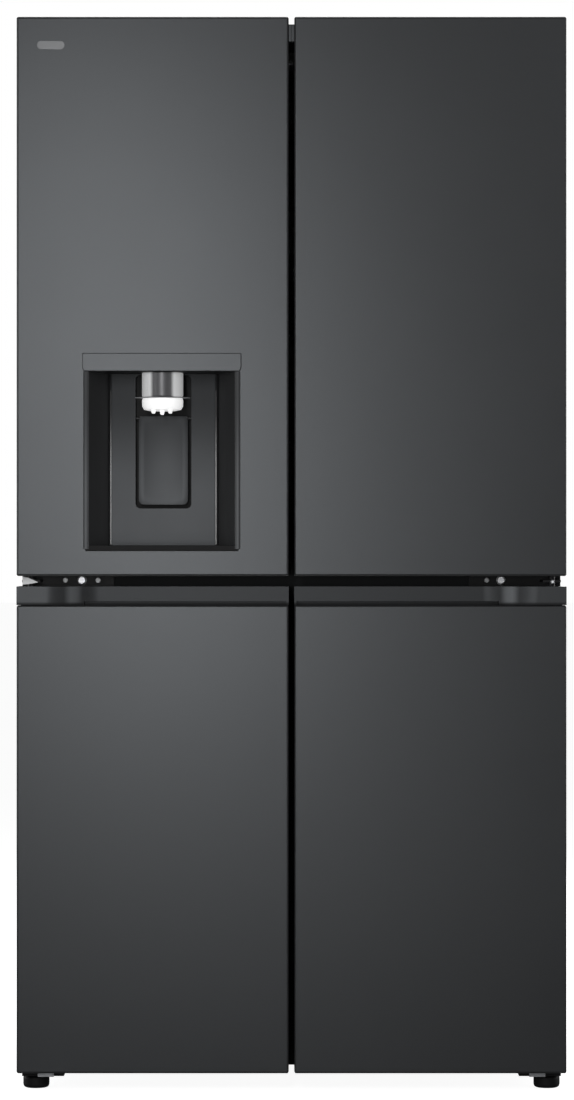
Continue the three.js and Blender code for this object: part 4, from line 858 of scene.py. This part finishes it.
keep("cabinet_shell", CABINET, 0.0006, 2)
keep("top_cover", TOP_DARK, 0.0016, 3)
keep("cabinet_foam", FOAM, 0)
keep("fridge_liner", WHITE, 0.0016, 3)
keep("freezer_liner", WHITE, 0.0016, 3)
keep("base_frame", GALVANISED, 0.0006, 2)
keep("machine_cover", GALVANISED, 0.0003, 2)
keep("compressor", ENAMEL, 0.002, 3)
keep("condenser", ALUMINIUM, 0)
keep("evaporator", ALUMINIUM, 0)
keep("condenser_fan", BLACK, 0.0006, 2)
keep("evaporator_fan", BLACK, 0.0006, 2)
keep("freezer_duct_panel", WHITE, 0.0012, 3)
keep("fridge_duct_panel", WHITE, 0.002, 3)

# Rear sheet with pressed beads and its screws, inside the plain panel's own thickness.
low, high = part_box("back_panel")
bm = bmesh.new()
add_box(bm, (low.x, low.y, low.z), (high.x, high.y - 0.0009, high.z))
for i in range(4):
    x = low.x + (high.x - low.x) * (i + 0.5) / 4
    bead = rounded_outline((x - 0.016, low.z + 0.08), (x + 0.016, high.z - 0.08), 0.0155)
    add_prism(bm, bead, (high.y - 0.0012, high.y - 0.0002))
back = soften(finished("back_sheet", mesh_from(bm, "back"), GALVANISED, "cabinet"), 0.0004, 2)
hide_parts("back_panel")
heads = [(x, high.y - 0.0010, low.z + 0.012 + k * (high.z - low.z - 0.024) / 6)
         for x in (low.x + 0.012, 0, high.x - 0.012) for k in range(7)]
flat_head = [(0, 0.0006), (0.0012, 0.0006), (0.0018, 0.0009), (0.0042, 0.0008), (0.005, 0)]
bm = bmesh.new()
for place in heads:
    add_lathe(bm, flat_head, place, "y", 16)
soften(finished("back_screws", mesh_from(bm, "screws"), PLATED, "cabinet"), 0)

# Pipes between the compressor and the coil.
c_low, c_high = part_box("compressor")
k_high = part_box("condenser")[1]
mid_y = (c_low.y + c_high.y) / 2
hot = [(c_low.x + 0.05, mid_y + 0.02, c_high.z - 0.02), (c_low.x + 0.045, mid_y + 0.02, c_high.z + 0.04),
       (c_low.x - 0.02, mid_y + 0.03, c_high.z + 0.055), (k_high.x + 0.05, mid_y + 0.06, c_high.z + 0.05),
       (k_high.x + 0.03, mid_y + 0.075, k_high.z + 0.03), (k_high.x - 0.03, mid_y + 0.06, k_high.z + 0.012),
       (k_high.x - 0.04, mid_y + 0.05, k_high.z - 0.03)]
tube("hot_pipe", hot, 0.004, COPPER, "cabinet")
suction = [(c_low.x + 0.08, mid_y - 0.02, c_high.z - 0.02), (c_low.x + 0.085, mid_y - 0.03, c_high.z + 0.03),
           (c_low.x + 0.08, c_low.y - 0.02, c_high.z + 0.045),
           (c_low.x + 0.04, c_low.y - 0.03, c_high.z + 0.07)]
tube("suction_pipe", suction, 0.005, COPPER, "cabinet")

# Shelves: a glass pane in a moulded frame, with a bright front strip and a dark clip over its middle.
RIM = 0.015
for name in ("glass_shelf_top", "glass_shelf_middle", "crisper_shelf"):
    low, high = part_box(name)
    inner = block_mesh((low.x + RIM, low.y + RIM, low.z - 0.01), (high.x - RIM, high.y - RIM, high.z + 0.01))
    frame_mesh = carve(block_mesh(low, high), [inner])
    ring = soften(finished(name + "_frame", frame_mesh, WHITE, "cabinet"), 0.0015)
    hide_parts(name)
    lap = RIM - 0.002
    pane = ((low.x + lap, low.y + lap, low.z + 0.005), (high.x - lap, high.y - lap, low.z + 0.009))
    boxes(name + "_pane", [pane], GLASS, "cabinet", 0.0008)
    strip = ((low.x + 0.004, low.y - 0.0012, low.z + 0.002), (high.x - 0.004, low.y + 0.0006, high.z - 0.002))
    boxes(name + "_strip", [strip], PLATED, "cabinet", 0.0006)
    clip = ((-0.016, low.y - 0.0024, low.z + 0.0006), (0.016, low.y - 0.0008, high.z - 0.0006))
    boxes(name + "_clip", [clip], BLACK, "cabinet", 0.0005)

# Crispers and freezer drawers: a moulded front with a plated pull, and ribs along the side edges.
tubs = [f"crisper_{hand}" for hand in ("left", "right")]
tubs += [f"freezer_drawer_{hand}_{level}"
         for hand in ("left", "right") for level in ("bottom", "middle", "top")]
for name in tubs:
    keep(name, CLEAR, 0.002, 3)
    low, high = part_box(name)
    top = high.z
    fronts = [((low.x + 0.001, low.y - 0.0018, low.z + 0.012), (high.x - 0.001, low.y - 0.0002, top - 0.03)),
              ((low.x + 0.001, low.y - 0.0034, top - 0.034), (high.x - 0.001, low.y - 0.0002, top - 0.002))]
    boxes(name + "_front", fronts, CLEAR, name, 0.0007)
    pull = ((low.x + 0.02, low.y - 0.0050, top - 0.030), (high.x - 0.02, low.y - 0.0032, top - 0.008))
    boxes(name + "_pull", [pull], PLATED, name, 0.0008)
    ribs = [((x, low.y + 0.02 + i * 0.03, top - 0.0016), (x + 0.006, low.y + 0.032 + i * 0.03, top + 0.0006))
            for x in (low.x + 0.0005, high.x - 0.0065) for i in range(int((high.y - low.y - 0.05) / 0.03))]
    boxes(name + "_edge", ribs, CLEAR, name, 0.0004, 2)

# Lamps in the ceiling and down both sides, with diffusers.
low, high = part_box("fridge_liner")
WALL = 0.0028  # thickness of the liner
ceiling, wall_face = high.z - WALL, high.x - WALL
lamp = ((-0.17, low.y + 0.10, ceiling - 0.010), (0.17, low.y + 0.17, ceiling - 0.0004))
boxes("ceiling_lamp", [lamp], LAMP, "cabinet", 0.003)
lamp_frame = ((-0.18, low.y + 0.09, ceiling - 0.004), (0.18, low.y + 0.18, ceiling - 0.0002))
boxes("ceiling_lamp_frame", [lamp_frame], WHITE, "cabinet", 0.0015)
side_lamps = [((side * (wall_face - 0.0002), low.y + 0.045, z),
               (side * (wall_face - 0.005), low.y + 0.061, z + 0.11))
              for side in (-1, 1) for z in (low.z + 0.25, low.z + 0.46, low.z + 0.67)]
boxes("side_lamps", side_lamps, LAMP, "cabinet", 0.002)

# Louvres over the air outlets.
low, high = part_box("fridge_duct_panel")
louvres = []
for row in range(4):
    for k in range(5):
        bottom = high.z - 0.078 - row * 0.15 + k * 0.0052
        louvres.append(((-0.095, low.y - 0.0022, bottom), (0.095, low.y + 0.0002, bottom + 0.0022)))
boxes("duct_louvres", louvres, SEAL, "cabinet", 0.0005, 2)

# ---------------------------------------------------------------- stage and light


FLOOR_HALF = 60
FLOOR_DROP = 0.0004  # below the feet


def floor():
    bm = bmesh.new()
    bmesh.ops.create_grid(bm, x_segments=8, y_segments=8, size=FLOOR_HALF)
    mesh = bpy.data.meshes.new("floor")
    bm.to_mesh(mesh)
    bm.free()
    piece = bpy.data.objects.new("floor", mesh)
    scene.collection.objects.link(piece)
    piece.location.z = -FLOOR_DROP
    mesh.materials.append(surface("pale_floor", (0.5, 0.5, 0.5), 0.7, vary=0.01, grain=(1, 1, 1), bump=0.0,
                                  spec=0.1, glow=0.92))
    piece.visible_glossy = False
    piece.visible_diffuse = False


def area(name, place, look_at, size, power, roll=0.0):
    light = bpy.data.lights.new(name, "AREA")
    light.shape = "RECTANGLE"
    light.size, light.size_y = size
    light.energy = power
    lamp = bpy.data.objects.new(name, light)
    scene.collection.objects.link(lamp)
    lamp.location = place
    aim = (Vector(look_at) - Vector(place)).to_track_quat("-Z", "Y").to_matrix().to_4x4()
    lamp.rotation_euler = (aim @ Matrix.Rotation(roll, 4, "Z")).to_euler()
    lamp.visible_camera = False


floor()
world = bpy.data.worlds.new("studio")
scene.world = world
world.use_nodes = True
tree = world.node_tree
shade = tree.nodes["Background"]
shade.inputs["Color"].default_value = (1, 1, 1, 1)
path = tree.nodes.new("ShaderNodeLightPath")
# the camera sees white, and the object is lit by little of it
strength = remapped(tree, path.outputs["Is Camera Ray"], (0, 1), (0.08, 1.0))
tree.links.new(strength, shade.inputs["Strength"])

area("key", (-0.41, -3.38, 1.32), (-0.41, 0, 1.32), (0.2, 1.58), 36.5, roll=math.radians(9))
area("side_right", (2.6, -3.0, 1.0), (-0.3, 0, 0.9), (0.7, 1.8), 11)
area("side_left", (-2.6, -3.0, 1.0), (0.3, 0, 0.9), (0.7, 1.8), 16)
area("fill", (1.3, -3.38, 2.4), (0.6, 0, 1.6), (1.2, 1.2), 5.9)
area("low", (-0.2, -3.38, 0.12), (-0.1, 0, 0.12), (1.4, 0.4), 3.6)

# Soft light on the sides, the back and the top, from behind the doors' faces.
area("cabinet_right", (3.4, 1.3, 1.5), (0.45, 0.1, 0.9), (1.2, 2.2), 60)
area("cabinet_left", (-3.4, 1.3, 1.5), (-0.45, 0.1, 0.9), (1.2, 2.2), 60)
area("cabinet_back", (0.6, 4.2, 1.8), (0, 0.37, 0.9), (1.6, 1.6), 60)
area("cabinet_top", (0, 1.6, 4.2), (0, 0.1, 1.79), (1.4, 1.4), 45)
